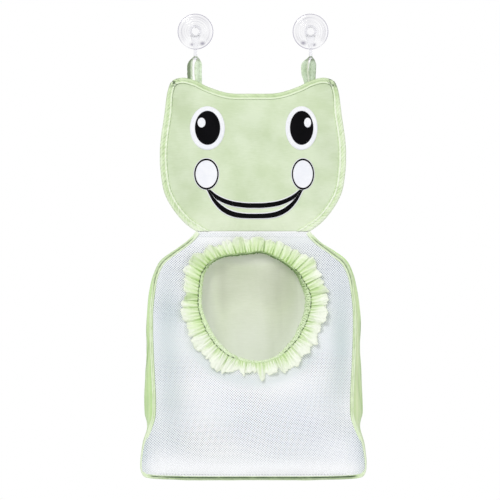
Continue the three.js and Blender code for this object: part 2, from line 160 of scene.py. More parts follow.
# Half of a cut through the cup: radius and reach from the wall, from its hollow to the knob
CUP_LINE = [(0, 2.4), (6, 2.35), (13, 1.7), (19.2, 0.15), (20.5, 0.02), (22.0, 0.0), (22.3, 0.3),
            (22.3, 0.9), (21.9, 1.45), (21.0, 1.7), (19.0, 2.6), (16.2, 4.1), (13.0, 6.0),
            (10.0, 7.9), (7.8, 9.3), (6.2, 10.0), (4.9, 10.25), (4.3, 10.7), (4.25, 11.8),
            (4.3, 13.0), (5.0, 13.35), (6.3, 13.5), (6.75, 14.3), (6.5, 15.6), (5.2, 16.6),
            (2.8, 17.15), (0, 17.3)]
# Lilac spots of the hook's refraction, painted below each knob: x and z from the cup's middle, and size
HOOK_REFRACTION_SPOTS = {-1: [(-3.8, -15.9, 2.4), (8.7, -14.8, 3.2)], 1: [(-8.9, -14.2, 3.2), (4.0, -16.3, 2.4)]}
SIDES = (("left", -1), ("right", 1))


def smooth_line(corners, count, closed=False):
    """Points at even distances along a centripetal Catmull-Rom curve through the corners: in each
    span the four nearest corners are blended by knots the square root of their distances apart."""
    corners = np.asarray(corners, float)
    if closed:
        ends = np.vstack([corners[-1:], corners, corners[:2]])
    else:
        ends = np.vstack([2 * corners[0] - corners[1], corners, 2 * corners[-1] - corners[-2]])
    steps = 24
    a, b, c, d = (ends[i:len(ends) - 3 + i][:, None, :] for i in range(4))
    ab, bc, cd = (np.sqrt(np.linalg.norm(q - p, axis=2, keepdims=True)) for p, q in ((a, b), (b, c), (c, d)))
    t = np.linspace(0, 1, steps, endpoint=False)[None, :, None] * bc
    low = (b * (t + ab) - a * t) / ab
    middle = (b * (bc - t) + c * t) / bc
    high = (c * (bc + cd - t) + d * (t - bc)) / cd
    first = (low * (bc - t) + middle * (t + ab)) / (bc + ab)
    second = (middle * (bc + cd - t) + high * t) / (bc + cd)
    dense = ((first * (bc - t) + second * t) / bc).reshape(-1, corners.shape[1])
    dense = np.vstack([dense, corners[:1] if closed else corners[-1:]])
    return evenly(dense, count + 1)[:-1] if closed else evenly(dense, count)


def smooth_step(value, low, high):
    """0 below low, 1 above high, and 3t^2 - 2t^3 between them."""
    t = np.clip((value - low) / (high - low), 0, 1)
    return t * t * (3 - 2 * t)


def bell(value, middle, size):
    """1 at the middle, and falling away to both sides as e to the minus square of the distance."""
    return np.exp(-((value - middle) / size) ** 2)


def run_along(line):
    """How far along a line of points each of them lies."""
    return np.concatenate([[0], np.cumsum(np.linalg.norm(np.diff(line, axis=0), axis=1))])


def points_at(line, distances):
    """Points at given distances along a line of points, by linear steps between them."""
    run = run_along(line)
    return np.stack([np.interp(distances, run, column) for column in line.T], axis=1)


def evenly(line, count):
    """Points at even distances along a line of points."""
    return points_at(line, np.linspace(0, run_along(line)[-1], count))


def unit(vectors):
    """Vectors brought to length 1."""
    return vectors / np.linalg.norm(vectors, axis=1, keepdims=True)


def built(name, points, faces, marks=None, outwards=False):
    """One smooth mesh from points in millimetres. Points that coincide, as at a pole, become one;
    outwards turns the faces; marks are numbers from 0 to 1 kept at each point."""
    mesh = bpy.data.meshes.new(name)
    mesh.from_pydata((points / 1000).tolist(), [], faces)
    for mark, values in (marks or {}).items():
        values = np.concatenate([np.ravel(v) for v in (values if isinstance(values, list) else [values])])
        values = np.clip(values, 0, 1).astype(np.float32)
        mesh.attributes.new(mark, "FLOAT", "POINT").data.foreach_set("value", values)
    shell = bmesh.new()
    shell.from_mesh(mesh)
    bmesh.ops.remove_doubles(shell, verts=shell.verts, dist=2e-6)
    if outwards:
        bmesh.ops.recalc_face_normals(shell, faces=shell.faces)
    shell.to_mesh(mesh)
    shell.free()
    mesh.polygons.foreach_set("use_smooth", np.ones(len(mesh.polygons), bool))
    return stand(name, mesh)


def surface(name, grids, ring=False, closed=False, thick=0.0, marks=None):
    """Four-sided faces over grids of points, rows by columns. ring joins the last column to the
    first; closed turns the faces outwards; thick is the cloth's thickness in millimetres."""
    grids = grids if isinstance(grids, list) else [grids]
    points, faces, start = [], [], 0
    for grid in grids:
        rows, columns = grid.shape[:2]
        number = start + np.arange(rows * columns).reshape(rows, columns)
        if ring:
            number = np.hstack([number, number[:, :1]])
        faces.append(np.stack([number[:-1, :-1], number[:-1, 1:], number[1:, 1:], number[1:, :-1]],
                              axis=2).reshape(-1, 4))
        points.append(grid.reshape(-1, 3))
        start += rows * columns
    piece = built(name, np.vstack(points), np.vstack(faces).tolist(), marks, closed)
    if thick:
        wall = piece.modifiers.new("cloth", "SOLIDIFY")
        wall.thickness = thick / 1000
        wall.offset = 0
    return piece


def fit(piece, material, body, slot, *nodes):
    """Dresses a piece in a material, and says what it rides on and which solids it stands for."""
    piece.data.materials.append(material)
    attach(piece, body)
    if nodes:
        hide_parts(*nodes)
    return piece


def effect(name, takes, gives):
    """An empty shader node group with named inputs and outputs, and its two end nodes."""
    group = bpy.data.node_groups.new(name, "ShaderNodeTree")
    for socket, kind, value in takes:
        made = group.interface.new_socket(socket, in_out="INPUT", socket_type="NodeSocket" + kind)
        made.default_value = value
    for socket, kind in gives:
        group.interface.new_socket(socket, in_out="OUTPUT", socket_type="NodeSocket" + kind)
    return group, group.nodes.new("NodeGroupInput").outputs, group.nodes.new("NodeGroupOutput").inputs


def placed(tree, group, **inputs):
    """A group's node in a material, with its own values."""
    made = tree.nodes.new("ShaderNodeGroup")
    made.node_tree = group
    for key, value in inputs.items():
        socket = made.inputs[key.replace("_", " ")]
        if isinstance(value, bpy.types.NodeSocket):
            tree.links.new(value, socket)
        else:
            socket.default_value = value
    return made.outputs


def wire(shader, **sockets):
    """Feeds a shader's own sockets from other nodes."""
    for socket, output in sockets.items():
        shader.id_data.links.new(output, shader.inputs[socket.replace("_", " ")])


def place_on(tree):
    """The place on the piece, for a pattern to follow."""
    return node(tree, "TexCoord").outputs["Object"]


def mark_of(tree, name):
    """A number kept at each point of the mesh."""
    return node(tree, "Attribute", attribute_name=name).outputs["Fac"]


def between(tree, value, low, high):
    """A value of 0 to 1 brought between two others."""
    return node(tree, "MapRange", {0: value, 3: low, 4: high}).outputs[0]


def bumps(tree, height, strength, distance, **under):
    """A normal that leans with a height, of a distance in metres, over the normal under it."""
    inputs = {"Height": height, "Strength": strength, "Distance": distance, **under}
    return node(tree, "Bump", inputs).outputs["Normal"]


def mix_colour(tree, share, first, second):
    """The first colour, going over to the second by a share."""
    return node(tree, "Mix", {0: share, 6: first, 7: second}, data_type="RGBA").outputs[2]


# Uneven tone: soft patches and fine drawn-out slubs of a deeper colour, as in woven cloth
uneven_tone, takes, gives = effect(
    "uneven tone",
    [("Colour", "Color", (1, 1, 1, 1)), ("Deep colour", "Color", (0.8, 0.8, 0.8, 1)),
     ("Patch size", "Float", 20.0)],
    [("Colour", "Color")])
place = place_on(uneven_tone)
patches = node(uneven_tone, "TexNoise", {"Vector": place, "Scale": takes["Patch size"], "Detail": 3.0})
drawn = node(uneven_tone, "Mapping", {"Vector": place, "Scale": (130.0, 130.0, 900.0)}).outputs[0]
slubs = node(uneven_tone, "TexNoise", {"Vector": drawn, "Scale": 1.0, "Detail": 2.0})
both = math_node(uneven_tone, "ADD", math_node(uneven_tone, "MULTIPLY", patches.outputs["Fac"], 0.75),
                 math_node(uneven_tone, "MULTIPLY", slubs.outputs["Fac"], 0.25))
spread = node(uneven_tone, "MapRange", {0: both, 1: 0.38, 2: 0.64}).outputs[0]
uneven_tone.links.new(mix_colour(uneven_tone, spread, takes["Colour"], takes["Deep colour"]), gives["Colour"])


def toned(tree, colour, deep, patch=20.0):
    """An uneven tone between two screen colours."""
    return placed(tree, uneven_tone, Colour=ink(*colour), Deep_colour=ink(*deep), Patch_size=patch)["Colour"]


def clear_plastic(name, bending, clear, edge, haze_scale, smooth, hazy):
    """Clear plastic that bends light by its index: hazy in patches, and tinted by the mark shade."""
    material, tree, shader = finish(name, Transmission_Weight=1.0, IOR=bending, Metallic=0.0)
    haze = node(tree, "TexNoise", {"Vector": place_on(tree), "Scale": haze_scale}).outputs["Fac"]
    wire(shader, Roughness=between(tree, haze, smooth, hazy),
         Base_Color=mix_colour(tree, mark_of(tree, "shade"), ink(*clear), ink(*edge)))
    return material


clear_soft = clear_plastic("clear soft plastic", 1.44, (254, 254, 255), (112, 106, 134), 60.0, 0.03, 0.12)
profile = smooth_line(CUP_LINE, 170)
turn = np.linspace(0, 2 * np.pi, 97)[:-1]
for side, sign in SIDES:
    radius, reach = profile[:, :1], profile[:, 1:]
    on_dome = np.clip((radius - 8.5) / 2, 0, 1) * np.clip((20.6 - radius) / 1.5, 0, 1) * (reach > 1.6)
    moulded = reach + 0.22 * on_dome * np.sin(2 * np.pi * (radius - 8) / 3.1)
    x, z = radius * np.cos(turn), radius * np.sin(turn)
    # Painted shade and refraction in the clear plastic: a dark line at the lip's edge, weaker on its lit
    # side.
    lit_side = bell(x, 12 * sign, 9) * bell(z, -17, 7)
    # Painted rings of shade over the bowl, cleared in a bright painted fan below the knob
    fan = smooth_step(-z, -1, 6) * smooth_step(1.25 * -z - np.abs(x), -3, 6)
    rings = 0.09 + 0.30 * bell(radius, 17.7, 0.5) + 0.16 * bell(radius, 15.2, 0.45)
    rings = rings + 0.12 * np.sin(2 * np.pi * radius / 3.1 + 1.2 * np.sin(2 * np.arctan2(z, x) + sign))
    rings = rings * smooth_step(radius, 3, 9) * (1 - smooth_step(radius, 19.4, 20.4))
    rings = rings + 0.16 * bell(radius, 20.4, 0.7) + 0.03 * (radius < 6.9) + 0.08 * bell(radius, 6.6, 0.5)
    shade = bell(radius, 22.1, 0.8) * (1 - 0.65 * lit_side)
    uneven_light = 0.75 + 0.25 * np.sin(3 * np.arctan2(z, x) + 2 * sign)
    shade = shade + np.clip(rings, 0, 1) * (1 - 0.95 * fan) * uneven_light
    # Painted dark spots where the hook is seen through the cup
    for spot_x, spot_z, size in HOOK_REFRACTION_SPOTS[sign]:
        shade = shade + 0.75 * bell(x, spot_x, size) * bell(z, spot_z, 0.75 * size)
    shade = np.clip(shade + 0.03, 0, 1) * (reach > 0.1)
    points = np.stack([sign * CUP_SPREAD + x, -moulded + 0 * x, z], axis=2)
    cup = surface(f"cup_{side}", points, ring=True, closed=True, marks={"shade": shade})
    fit(cup, clear_soft, f"{side}_cup", "cup_plastic", f"{side}_suction_cup")


# Hooks: clear hard plastic. A round collar turns on the cup's neck, a flat arm tapers down from it
# and ends in a J that opens upwards, with a rounded tip.
HOOK_REACH = 11.7
HOOK_THICK = 2.6
SWING_REACH = 16.7
SWING_DROP = -29.6
J_RADIUS = 5.0

clear_hard = clear_plastic("clear hard plastic", 1.49, (252, 252, 254), (138, 142, 146), 130.0, 0.02, 0.09)
for side, sign in SIDES:
    # The arm's middle line, as x, reach and height, with its width, from inside the collar to the tip
    angle = np.linspace(np.pi, 2 * np.pi, 13)[1:]
    bend = np.stack([0 * angle, SWING_REACH + J_RADIUS * np.cos(angle),
                     SWING_DROP + J_RADIUS * np.sin(angle), 0 * angle + 4.2], axis=1)
    arm = [(0, HOOK_REACH, -5.4, 12.6), (0, HOOK_REACH, -9, 10.6), (0.2, HOOK_REACH, -15, 7.6),
           (0.2, HOOK_REACH, -21, 5.4), (0, HOOK_REACH, -26, 4.4), (0, HOOK_REACH, SWING_DROP, 4.2)]
    tip = [(0, SWING_REACH + J_RADIUS, -26.0, 4.0), (0, SWING_REACH + J_RADIUS, -24.2, 3.4),
           (0, SWING_REACH + J_RADIUS, -23.3, 1.9)]
    line = smooth_line(np.vstack([arm, bend, tip]), 110)
    along = unit(np.gradient(line[:, :3], axis=0))
    across = np.array([1.0, 0, 0])
    depth = unit(np.cross(along, across))
    sides = 28
    section = np.linspace(0, 2 * np.pi, sides + 1)[:-1]
    wide = np.sign(np.cos(section)) * np.abs(np.cos(section)) ** 0.45
    deep = np.sign(np.sin(section)) * np.abs(np.sin(section)) ** 0.6
    thin = np.minimum(HOOK_THICK, line[:, 3] * 1.1) / 2
    shape = (line[:, None, :3] + (line[:, 3, None] / 2 * wide)[:, :, None] * across
             + (thin[:, None] * deep)[:, :, None] * depth[:, None, :])
    shape = np.concatenate([shape[:1].mean(1, keepdims=True).repeat(sides, 1), shape,
                            shape[-1:].mean(1, keepdims=True).repeat(sides, 1)])
    ring_line = smooth_line([(4.65, 10.7), (4.65, 12.7), (5.0, 13.0), (7.2, 13.0), (7.9, 12.6), (8.0, 11.7),
                             (7.9, 10.8), (7.2, 10.4), (5.0, 10.4)], 40, closed=True)
    collar = np.stack([ring_line[:, :1] * np.cos(turn), ring_line[:, 1:] + 0 * turn,
                       ring_line[:, :1] * np.sin(turn)], axis=2)
    collar = np.concatenate([collar, collar[:1]])
    for part in (shape, collar):
        part[..., 0] += sign * CUP_SPREAD
        part[..., 1] *= -1
    # Light bends away at the arm's two edges, and most of all in the J
    edge = np.abs(wide)[None, :] ** 5 * (0.25 + 0.5 * smooth_step(-shape[..., 2], 20, 30)) + 0.04
    shade = [edge + 0 * shape[..., 0], 0 * collar[..., 0] + 0.05]
    hook = surface(f"hook_{side}", [shape, collar], ring=True, closed=True, marks={"shade": shade})
    fit(hook, clear_hard, "hooks", "hook_plastic", f"{side}_hook")


# Hanging loops: narrow satin straps, folded over the hook's floor and sewn into the seam on top of
# the head. The strap is edge on and bunched in the hook, and each leg turns flat below it.
STRAP_THICK = 1.0
STRAP_WIDTH = 9.4
# Each strap's middle line, from one sewn end over the hook to the other: x from the cup's middle,
# height, and how far its width is turned away from the x axis, in radians
STRAPS = {
    -1: [(-5.8, -69, 0.75), (-6.6, -60, 0.75), (-7.0, -52, 0.78), (-7.0, -45, 0.78), (-6.6, -40, 0.85),
         (-5.0, -36.4, 1.0), (-3.3, -34.2, 1.25), (-1.9, -32.95, 1.5), (0, -32.62, 1.57), (1.9, -32.8, 1.7),
         (3.0, -34.0, 2.0), (3.5, -36.5, 2.4), (3.6, -40, 2.75), (3.4, -46, 2.9), (3.4, -54, 2.95),
         (3.9, -61, 2.95), (4.2, -69, 2.95)],
    1: [(-4.4, -69, 0.7), (-5.0, -62, 0.6), (-6.6, -55, 0.35), (-7.4, -48, 0.3), (-7.2, -42, 0.35),
        (-6.0, -38, 0.6), (-4.0, -35.4, 1.0), (-1.9, -33.0, 1.45), (0, -32.62, 1.57), (1.7, -33.0, 1.7),
        (2.5, -35, 2.2), (2.7, -39, 2.7), (2.4, -46, 2.88), (2.0, -54, 2.85), (2.2, -61, 2.8),
        (2.4, -69, 2.8)]}


def uneven(along, period, seed, steps=3):
    """Soft irregular waves from about -1 to 1: a mean of sines whose lengths fall from the period
    by uneven steps, each with its own phase."""
    chance = np.random.RandomState(seed)
    total = 0
    for step in range(steps):
        length = period / 1.7 ** step * chance.uniform(0.85, 1.15)
        total = total + np.sin(2 * np.pi * along / length + chance.uniform(0, 2 * np.pi)) / 1.35 ** step
    return total / 1.6


# Satin threads: fine ribs along two directions, the one floating over the other
satin_thread, takes, gives = effect("satin thread", [("Threads per metre", "Float", 1800.0)],
                                    [("Height", "Float"), ("Mask", "Float")])
axes = node(satin_thread, "SeparateXYZ", {0: place_on(satin_thread)}).outputs
ribs = [math_node(satin_thread, "SINE", math_node(satin_thread, "MULTIPLY", axis, math_node(
    satin_thread, "MULTIPLY", takes["Threads per metre"], 2 * math.pi * share)))
    for axis, share in ((math_node(satin_thread, "ADD", axes["X"], axes["Y"]), 1.0), (axes["Z"], 0.4))]
crossing = math_node(satin_thread, "MULTIPLY", ribs[1], 0.35)
height = math_node(satin_thread, "ADD", ribs[0], crossing)
satin_thread.links.new(height, gives["Height"])
satin_thread.links.new(node(satin_thread, "MapRange", {0: height, 1: -1.3, 2: 1.3}).outputs[0], gives["Mask"])

# Creases: crumpled lines, sharper than the soft patches of tone
creases, takes, gives = effect("creases", [("Size", "Float", 60.0)], [("Height", "Float")])
rumpled = node(creases, "TexNoise", {"Vector": place_on(creases), "Scale": takes["Size"], "Detail": 4.0,
                                     "Roughness": 0.55, "Distortion": 1.2})
ridge = math_node(creases, "ABSOLUTE", math_node(creases, "SUBTRACT", rumpled.outputs["Fac"], 0.5))
creases.links.new(math_node(creases, "MULTIPLY", ridge, -2.0), gives["Height"])


def satin(name, colour, deep, patch=22.0, crease=0.3, crease_size=45.0, dark=(84, 104, 62),
          bright=(248, 255, 232), **settings):
    """A satin cloth: uneven tone, fine threads and creases. The mark shade paints shade into seams and
    folds, and the mark light paints highlights on ridges."""
    material, tree, shader = finish(name, Sheen_Weight=0.25, Sheen_Roughness=0.45, Specular_IOR_Level=0.35,
                                    **settings)
    thread = placed(tree, satin_thread)
    tone = mix_colour(tree, mark_of(tree, "light"), toned(tree, colour, deep, patch), ink(*bright))
    tone = mix_colour(tree, mark_of(tree, "shade"), tone, ink(*dark))
    large = bumps(tree, placed(tree, creases, Size=crease_size)["Height"], crease, 0.0016)
    wire(shader, Base_Color=tone, Roughness=between(tree, thread["Mask"], 0.40, 0.56),
         Normal=bumps(tree, thread["Height"], 0.25, 0.00006, Normal=large))
    return material


strap_satin = satin("strap satin", (226, 243, 217), (200, 221, 186), patch=90.0, crease=0.5,
                    crease_size=140.0)

for side, sign in SIDES:
    line = smooth_line([(x, z, 10 * yaw) for x, z, yaw in STRAPS[sign]], 190)
    middle, height, yaw = line[:, :1], line[:, 1:2], line[:, 2:] / 10
    drop = -height
    first = 1 - smooth_step(yaw, 1.5, 1.64)
    width = STRAP_WIDTH * (0.60 + 0.40 * smooth_step(drop, 34, 42)) - 1.2 * smooth_step(drop, 52, 66)
    across = np.linspace(-0.5, 0.5, 25)[None, :]
    # In the hook the strap is curled to the J's round floor; below it, it opens with lengthwise folds
    curl = 1 - smooth_step(drop, 33.0, 35.2)
    reach = width * across
    arc = reach / 3.0
    fold = 0.5 * np.cos(2 * np.pi * (across * 1.6 + 0.1 * sign))
    fold = (fold + 0.22 * uneven(drop + 7 * across, 8, 11 + sign)) * smooth_step(drop, 35, 42)
    toward = -np.sin(arc) * 3.0 * curl - (1 - curl) * reach * np.sin(yaw)
    x = middle + (1 - curl) * (reach * np.cos(yaw) + fold * np.sin(yaw))
    y = -SWING_REACH + toward - (1 - curl) * fold * np.abs(np.cos(yaw))
    z = height + curl * 3.0 * (1 - np.cos(arc)) + 1.1 * across * smooth_step(drop, 38, 50)
    # Painted shade and highlights on the first leg, in front, and on the second, seen past its edge
    front = first > 0.5
    seen = across * np.where(front, 1, -1)
    if sign < 0:
        shade = np.where(front, 0.86 - 0.72 * smooth_step(seen, -0.1, 0.35), 0.03 + 0.08 * (fold > 0.35))
        light = np.where(front, 0.55 * smooth_step(seen, 0.2, 0.45),
                         0.15 + 0.35 * smooth_step(seen, -0.2, -0.45))
    else:
        shade = np.where(front, 0.05 + 0.22 * smooth_step(seen, -0.3, 0.1),
                         0.26 - 0.1 * smooth_step(seen, 0, 0.3))
        shade = shade + 0.5 * bell(seen, 0.47, 0.06) * ~front
        light = (0.95 * bell(seen, 0.42, 0.10) + 0.3 * (seen < -0.3)) * front
    # Painted shade where the strap curls in the hook and in the hollows of its folds
    shade = shade + 0.35 * bell(drop, 35.5, 2.2) + 0.25 * smooth_step(-fold, 0.3, 0.7)
    points = np.stack([sign * CUP_SPREAD + x, y, z], axis=2)
    strap = surface(f"strap_{side}", points, thick=STRAP_THICK,
                    marks={"shade": np.clip(shade, 0, 0.8), "light": light + 0 * x})
    strap.modifiers.new("soft", "SUBSURF").levels = 1
    strap.modifiers["soft"].render_levels = 1
    fit(strap, strap_satin, "bag", "green_satin", f"{side}_loop")


# Back panel: one sheet of satin behind head and pouch, flat behind the head and leaning back to the
# wall below the neck. It hangs in soft upright folds and is puckered along its sewn edge.
PANEL_THICK = 0.6
BACK_REACH = 14.9
BACK_LEAN = 0.04175
NECK = -250.0
HEAD_TOP = -59.0
HEAD_HALF = 115.5
# The right half of an outline from the top down, in shares of its half width and its height. The
# body's third number is the side wall's swell, in shares of the half width.
HEAD_SHARES = [(0, 0.105), (0.268, 0.1), (0.494, 0.058), (0.63, 0.018), (0.771, 0), (0.872, 0.022),
               (0.912, 0.075), (0.953, 0.246), (0.99, 0.4), (1, 0.5), (0.991, 0.613), (0.95, 0.749),
               (0.849, 0.861), (0.719, 0.95), (0.6, 1)]
BODY_HALF = 141.5
BODY_DROP = 309.0
BODY_SHARES = [(0.5, 0, 0), (0.594, 0.049, 0.012), (0.714, 0.091, 0.024), (0.806, 0.126, 0.028),
               (0.859, 0.175, 0.03), (0.89, 0.239, 0.032), (0.908, 0.303, 0.032), (0.912, 0.38, 0.034),
               (0.905, 0.492, 0.042), (0.894, 0.59, 0.066), (0.885, 0.683, 0.08), (0.89, 0.748, 0.071),
               (0.922, 0.793, 0.02), (0.968, 0.853, 0.01), (0.993, 0.922, 0.006), (0.99, 0.964, 0.002),
               (0.965, 0.985, 0), (0.92, 0.992, 0), (0.6, 0.999, 0), (0, 1, 0)]

head_half = smooth_line([(x * HEAD_HALF, HEAD_TOP + z * (NECK - HEAD_TOP)) for x, z in HEAD_SHARES], 400)
body_half = smooth_line([(x * BODY_HALF, NECK - z * BODY_DROP, swell * BODY_HALF)
                         for x, z, swell in BODY_SHARES], 700)


def both_sides(half):
    """A right half line from the top middle down, joined to its mirror image on the left."""
    left = half[::-1] * np.where(np.arange(half.shape[1]) == 0, -1, 1)
    return np.vstack([half, left[1:-1] if abs(half[0, 0]) < 1e-6 else left[1:]])


def outward(line, soft=0):
    """Unit vectors square to a line of x and z that runs clockwise, averaged over soft points."""
    along = np.gradient(line[:, :2], axis=0)
    square = np.stack([-along[:, 1], along[:, 0]], axis=1)
    if soft:
        kernel = np.hanning(2 * soft + 1) / np.hanning(2 * soft + 1).sum()
        square = np.stack([np.convolve(np.pad(column, soft, "edge"), kernel, "valid") for column in square.T],
                          axis=1)
    return unit(square)


def back_plane(z):
    """The back panel's y: level with the head's back above the neck, then leaning to the wall."""
    return -BACK_REACH - BACK_LEAN * np.minimum(z - NECK, 0)


def rumple(x, z, size, seed):
    """Soft uneven ground: sines across the sheet in many directions, each with its own length."""
    waves = 7
    chance = np.random.RandomState(seed)
    angle, phase = chance.uniform(0, np.pi, waves), chance.uniform(0, 2 * np.pi, waves)
    length = size * chance.uniform(0.7, 1.7, waves)
    run = x[..., None] * np.cos(angle) + z[..., None] * np.sin(angle)
    return np.sin(2 * np.pi * run / length + phase).sum(-1) / math.sqrt(waves)


panel_satin = satin("panel satin", (225, 231, 210), (211, 219, 193), patch=14.0, crease=0.22,
                    crease_size=26.0, dark=(92, 92, 66), bright=(249, 250, 247), Anisotropic=0.3)
PANEL_MIDDLE = -286.0
outline = np.vstack([head_half - outward(head_half) * 1.2, (body_half[:, :2] - outward(body_half) * 2.2)[6:]])
outline = evenly(both_sides(outline), 561)[:-1]
# The grid runs out from one point that sees the whole outline, so that no part of it folds over
share = (np.linspace(0, 1, 66) ** 0.85)[:, None]
x = outline[None, :, 0] * share
z = PANEL_MIDDLE + (outline[None, :, 1] - PANEL_MIDDLE) * share
half_wide = np.interp(-z, -body_half[:, 1], body_half[:, 0])
inner = (1 - np.clip(np.abs(x) / half_wide, 0, 1) ** 4) * smooth_step(z, -557, -520)
hang = smooth_step(-z, 262, 330) * inner
folds = 2.1 * np.cos(2 * np.pi * (x - 8) / 74) + 0.7 * uneven(x + 0.12 * z, 46, 3)
run = np.linspace(0, 720, 561)[None, :-1]
puckers = 0.45 * uneven(run, 11, 5) * smooth_step(share, 0.86, 1.0)
free = 1.2 * rumple(x, z, 95, 8) * inner
y = back_plane(z) - hang * np.maximum(folds, -1.2) * 0.9 - puckers * 0.4 - np.maximum(hang * free, -0.3)
y = np.where(z > NECK, np.maximum(y, back_plane(z) - 0.2), y)
# Painted shade near the neck and in two upright fold hollows; painted light low down and to the sides
tone = 0.15 * bell(x, -40, 11) + 0.10 * bell(x, 28, 13) + 0.07
tone = tone - 0.55 * smooth_step(-z, 322, 405) - 0.42 * smooth_step(np.abs(x - 3), 38, 67)
# Painted light in a band under the mouth's top rim, where the frill casts its shadow
tone = tone * smooth_step(-z, 250, 290) - 0.36 * bell(z, -285, 8) * (1 - smooth_step(np.abs(x + 10), 40, 60))
# The inner side runs out from the middle to the edge, and the outer one back to the middle
both = [np.stack([x, y + PANEL_THICK * rise, z], axis=2)[::step] for rise, step in ((-0.5, 1), (0.5, -1))]
tone = np.vstack([tone, 0 * tone])
back = surface("back_sheet", np.vstack(both), ring=True, closed=True, marks={"shade": tone, "light": -tone})
fit(back, panel_satin, "bag", "green_satin", "back_panel")


# Head front: pale green satin, cut with two rounded ears over a stiff inner sheet. It stands a
# little proud in the middle, with soft dents where it is sewn down at the edge.
FACE_CENTRE = np.array([0.0, -152.0])
FACE_REACH = 18.5

face_outline = evenly(both_sides(np.vstack([head_half, [(0, NECK + 0.3)]])), 601)[:-1]
face_angle = np.unwrap(np.arctan2(*(face_outline - FACE_CENTRE).T[::-1]))
face_radius = np.linalg.norm(face_outline - FACE_CENTRE, axis=1)


def face_share(x, z):
    """How far out a place on the face lies: 0 in the middle and 1 on the head's outline."""
    away_x, away_z = x - FACE_CENTRE[0], z - FACE_CENTRE[1]
    angle = np.arctan2(away_z, away_x)
    order = np.argsort(face_angle % (2 * np.pi))
    edge = np.interp(angle % (2 * np.pi), (face_angle % (2 * np.pi))[order], face_radius[order],
                     period=2 * np.pi)
    return np.hypot(away_x, away_z) / edge


def face_depth(x, z):
    """The satin's y: a low crown that falls to the seam, broad dents and swells, and short puckers
    that run in from the edge."""
    share = np.clip(face_share(x, z), 0, 1)
    angle = np.arctan2(z - FACE_CENTRE[1], x - FACE_CENTRE[0])
    crown = 3.2 * (1 - share ** 4)
    swell = 1.5 * bell(x, 0, 46) * bell(z, -188, 24) - 1.3 * bell(x, -4, 30) * bell(z, -146, 22)
    swell = swell + 0.8 * bell(x, 6, 40) * bell(z, -100, 18)
    swell = swell - 0.8 * bell(np.abs(x), 98, 13) * bell(z, -170, 45)
    swell = (swell + 0.42 * rumple(x, z, 62, 31)) * (1 - share ** 3)
    pucker = 0.28 * uneven(angle * 105, 13, 17) * bell(1, share, 0.10) * (share > 0)
    return -FACE_REACH - crown - swell - pucker


face_satin = satin("face satin", (221, 234, 204), (206, 222, 184), patch=34.0, crease=0.14, crease_size=30.0,
                   Anisotropic=0.35)
share = np.linspace(0, 1, 66)[:, None]
x = FACE_CENTRE[0] + (face_outline[None, :, 0] - FACE_CENTRE[0]) * share
z = FACE_CENTRE[1] + (face_outline[None, :, 1] - FACE_CENTRE[1]) * share
inset = 1 - 0.012 * share ** 8
x, z = x * inset, FACE_CENTRE[1] + (z - FACE_CENTRE[1]) * np.where(z < -247, 1, inset)
# Painted shade a little deeper down both sides, soft random patches of tone, and painted light at the chin
side_shade_and_patches = 0.05 * smooth_step(np.abs(x - 6), 55, 95) + 0.022 * rumple(x, z, 58, 33)
chin = 0.34 * smooth_step(-z, 205, 240)
face = surface("face_sheet", np.stack([x, face_depth(x, z), z], axis=2), ring=True, thick=0.5,
               marks={"shade": side_shade_and_patches - 0.2 * chin, "light": chin - 2 * side_shade_and_patches})
fit(face, face_satin, "bag", "green_satin", "head_front_panel")


# Inner sheet: thin foamed plastic between the head's two satins, which keeps the head crisp.
# Its cut edge shows only inside the neck.
inner_sheet, tree, shader = finish("foamed sheet", Roughness=0.8)
foam = node(tree, "TexNoise", {"Vector": place_on(tree), "Scale": 900.0, "Detail": 2.0})
wire(shader, Base_Color=toned(tree, (244, 244, 240), (232, 232, 226), 60.0),
     Normal=bumps(tree, foam.outputs["Fac"], 0.3, 0.0002))
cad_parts["head_stiffener"].data.materials.clear()
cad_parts["head_stiffener"].data.materials.append(inner_sheet)


# Face: thin film pressed onto the satin. Each shape lies on the cloth's own ground, white below
# black, and the mouth keeps a narrow white margin of its carrier.
FILM_THICK = 0.18
# An eye's middle, width and height, its pupil's width and height, and its glint's width; then a
# cheek's middle, width and height
EYES = {-1: (-57.0, -121.2, 43.8, 54.8, 31.6, 42.5, 9.9), 1: (60.6, -121.2, 40.2, 54.8, 29.2, 42.5, 8.7)}
CHEEKS = {-1: (-58.2, -178.6, 30.6, 38.8), 1: (62.4, -178.6, 27.9, 38.8)}


def film(name, colour, deep, roughness, shine):
    """A thin film finish, in which the threads below show faintly."""
    material, tree, shader = finish(name, Specular_IOR_Level=shine)
    below = placed(tree, satin_thread, Threads_per_metre=900.0)
    wire(shader, Base_Color=toned(tree, colour, deep, 70.0),
         Roughness=between(tree, below["Mask"], roughness - 0.06, roughness + 0.06),
         Normal=bumps(tree, below["Height"], 0.3, 0.00006))
    return material


white_film = film("white film", (250, 251, 254), (242, 244, 250), 0.45, 0.3)
black_film = film("black film", (7, 7, 9), (13, 12, 15), 0.6, 0.04)


def film_shape(name, grids, layer, white, *nodes):
    """A shape of film on the face: grids of its points in x and z, lifted off the satin by its layer,
    in the white film or in the black one."""
    lifted = [np.stack([g[..., 0], face_depth(g[..., 0], g[..., 1]) - 0.36 - 0.24 * layer, g[..., 1]], axis=2)
              for g in grids]
    material, slot = (white_film, "white_film") if white else (black_film, "black_film")
    fit(surface(name, lifted, thick=FILM_THICK), material, "bag", slot, *nodes)


def oval(x, z, width, height, inner=0.0, rings=14, sides=96):
    """An oval patch: rings of an ellipse from an inner share of its size out to its edge."""
    share, angle = np.linspace(inner, 1, rings)[:, None], np.linspace(0, 2 * np.pi, sides + 1)[None, :]
    return [np.stack([x + width / 2 * share * np.cos(angle), z + height / 2 * share * np.sin(angle)], axis=2)]


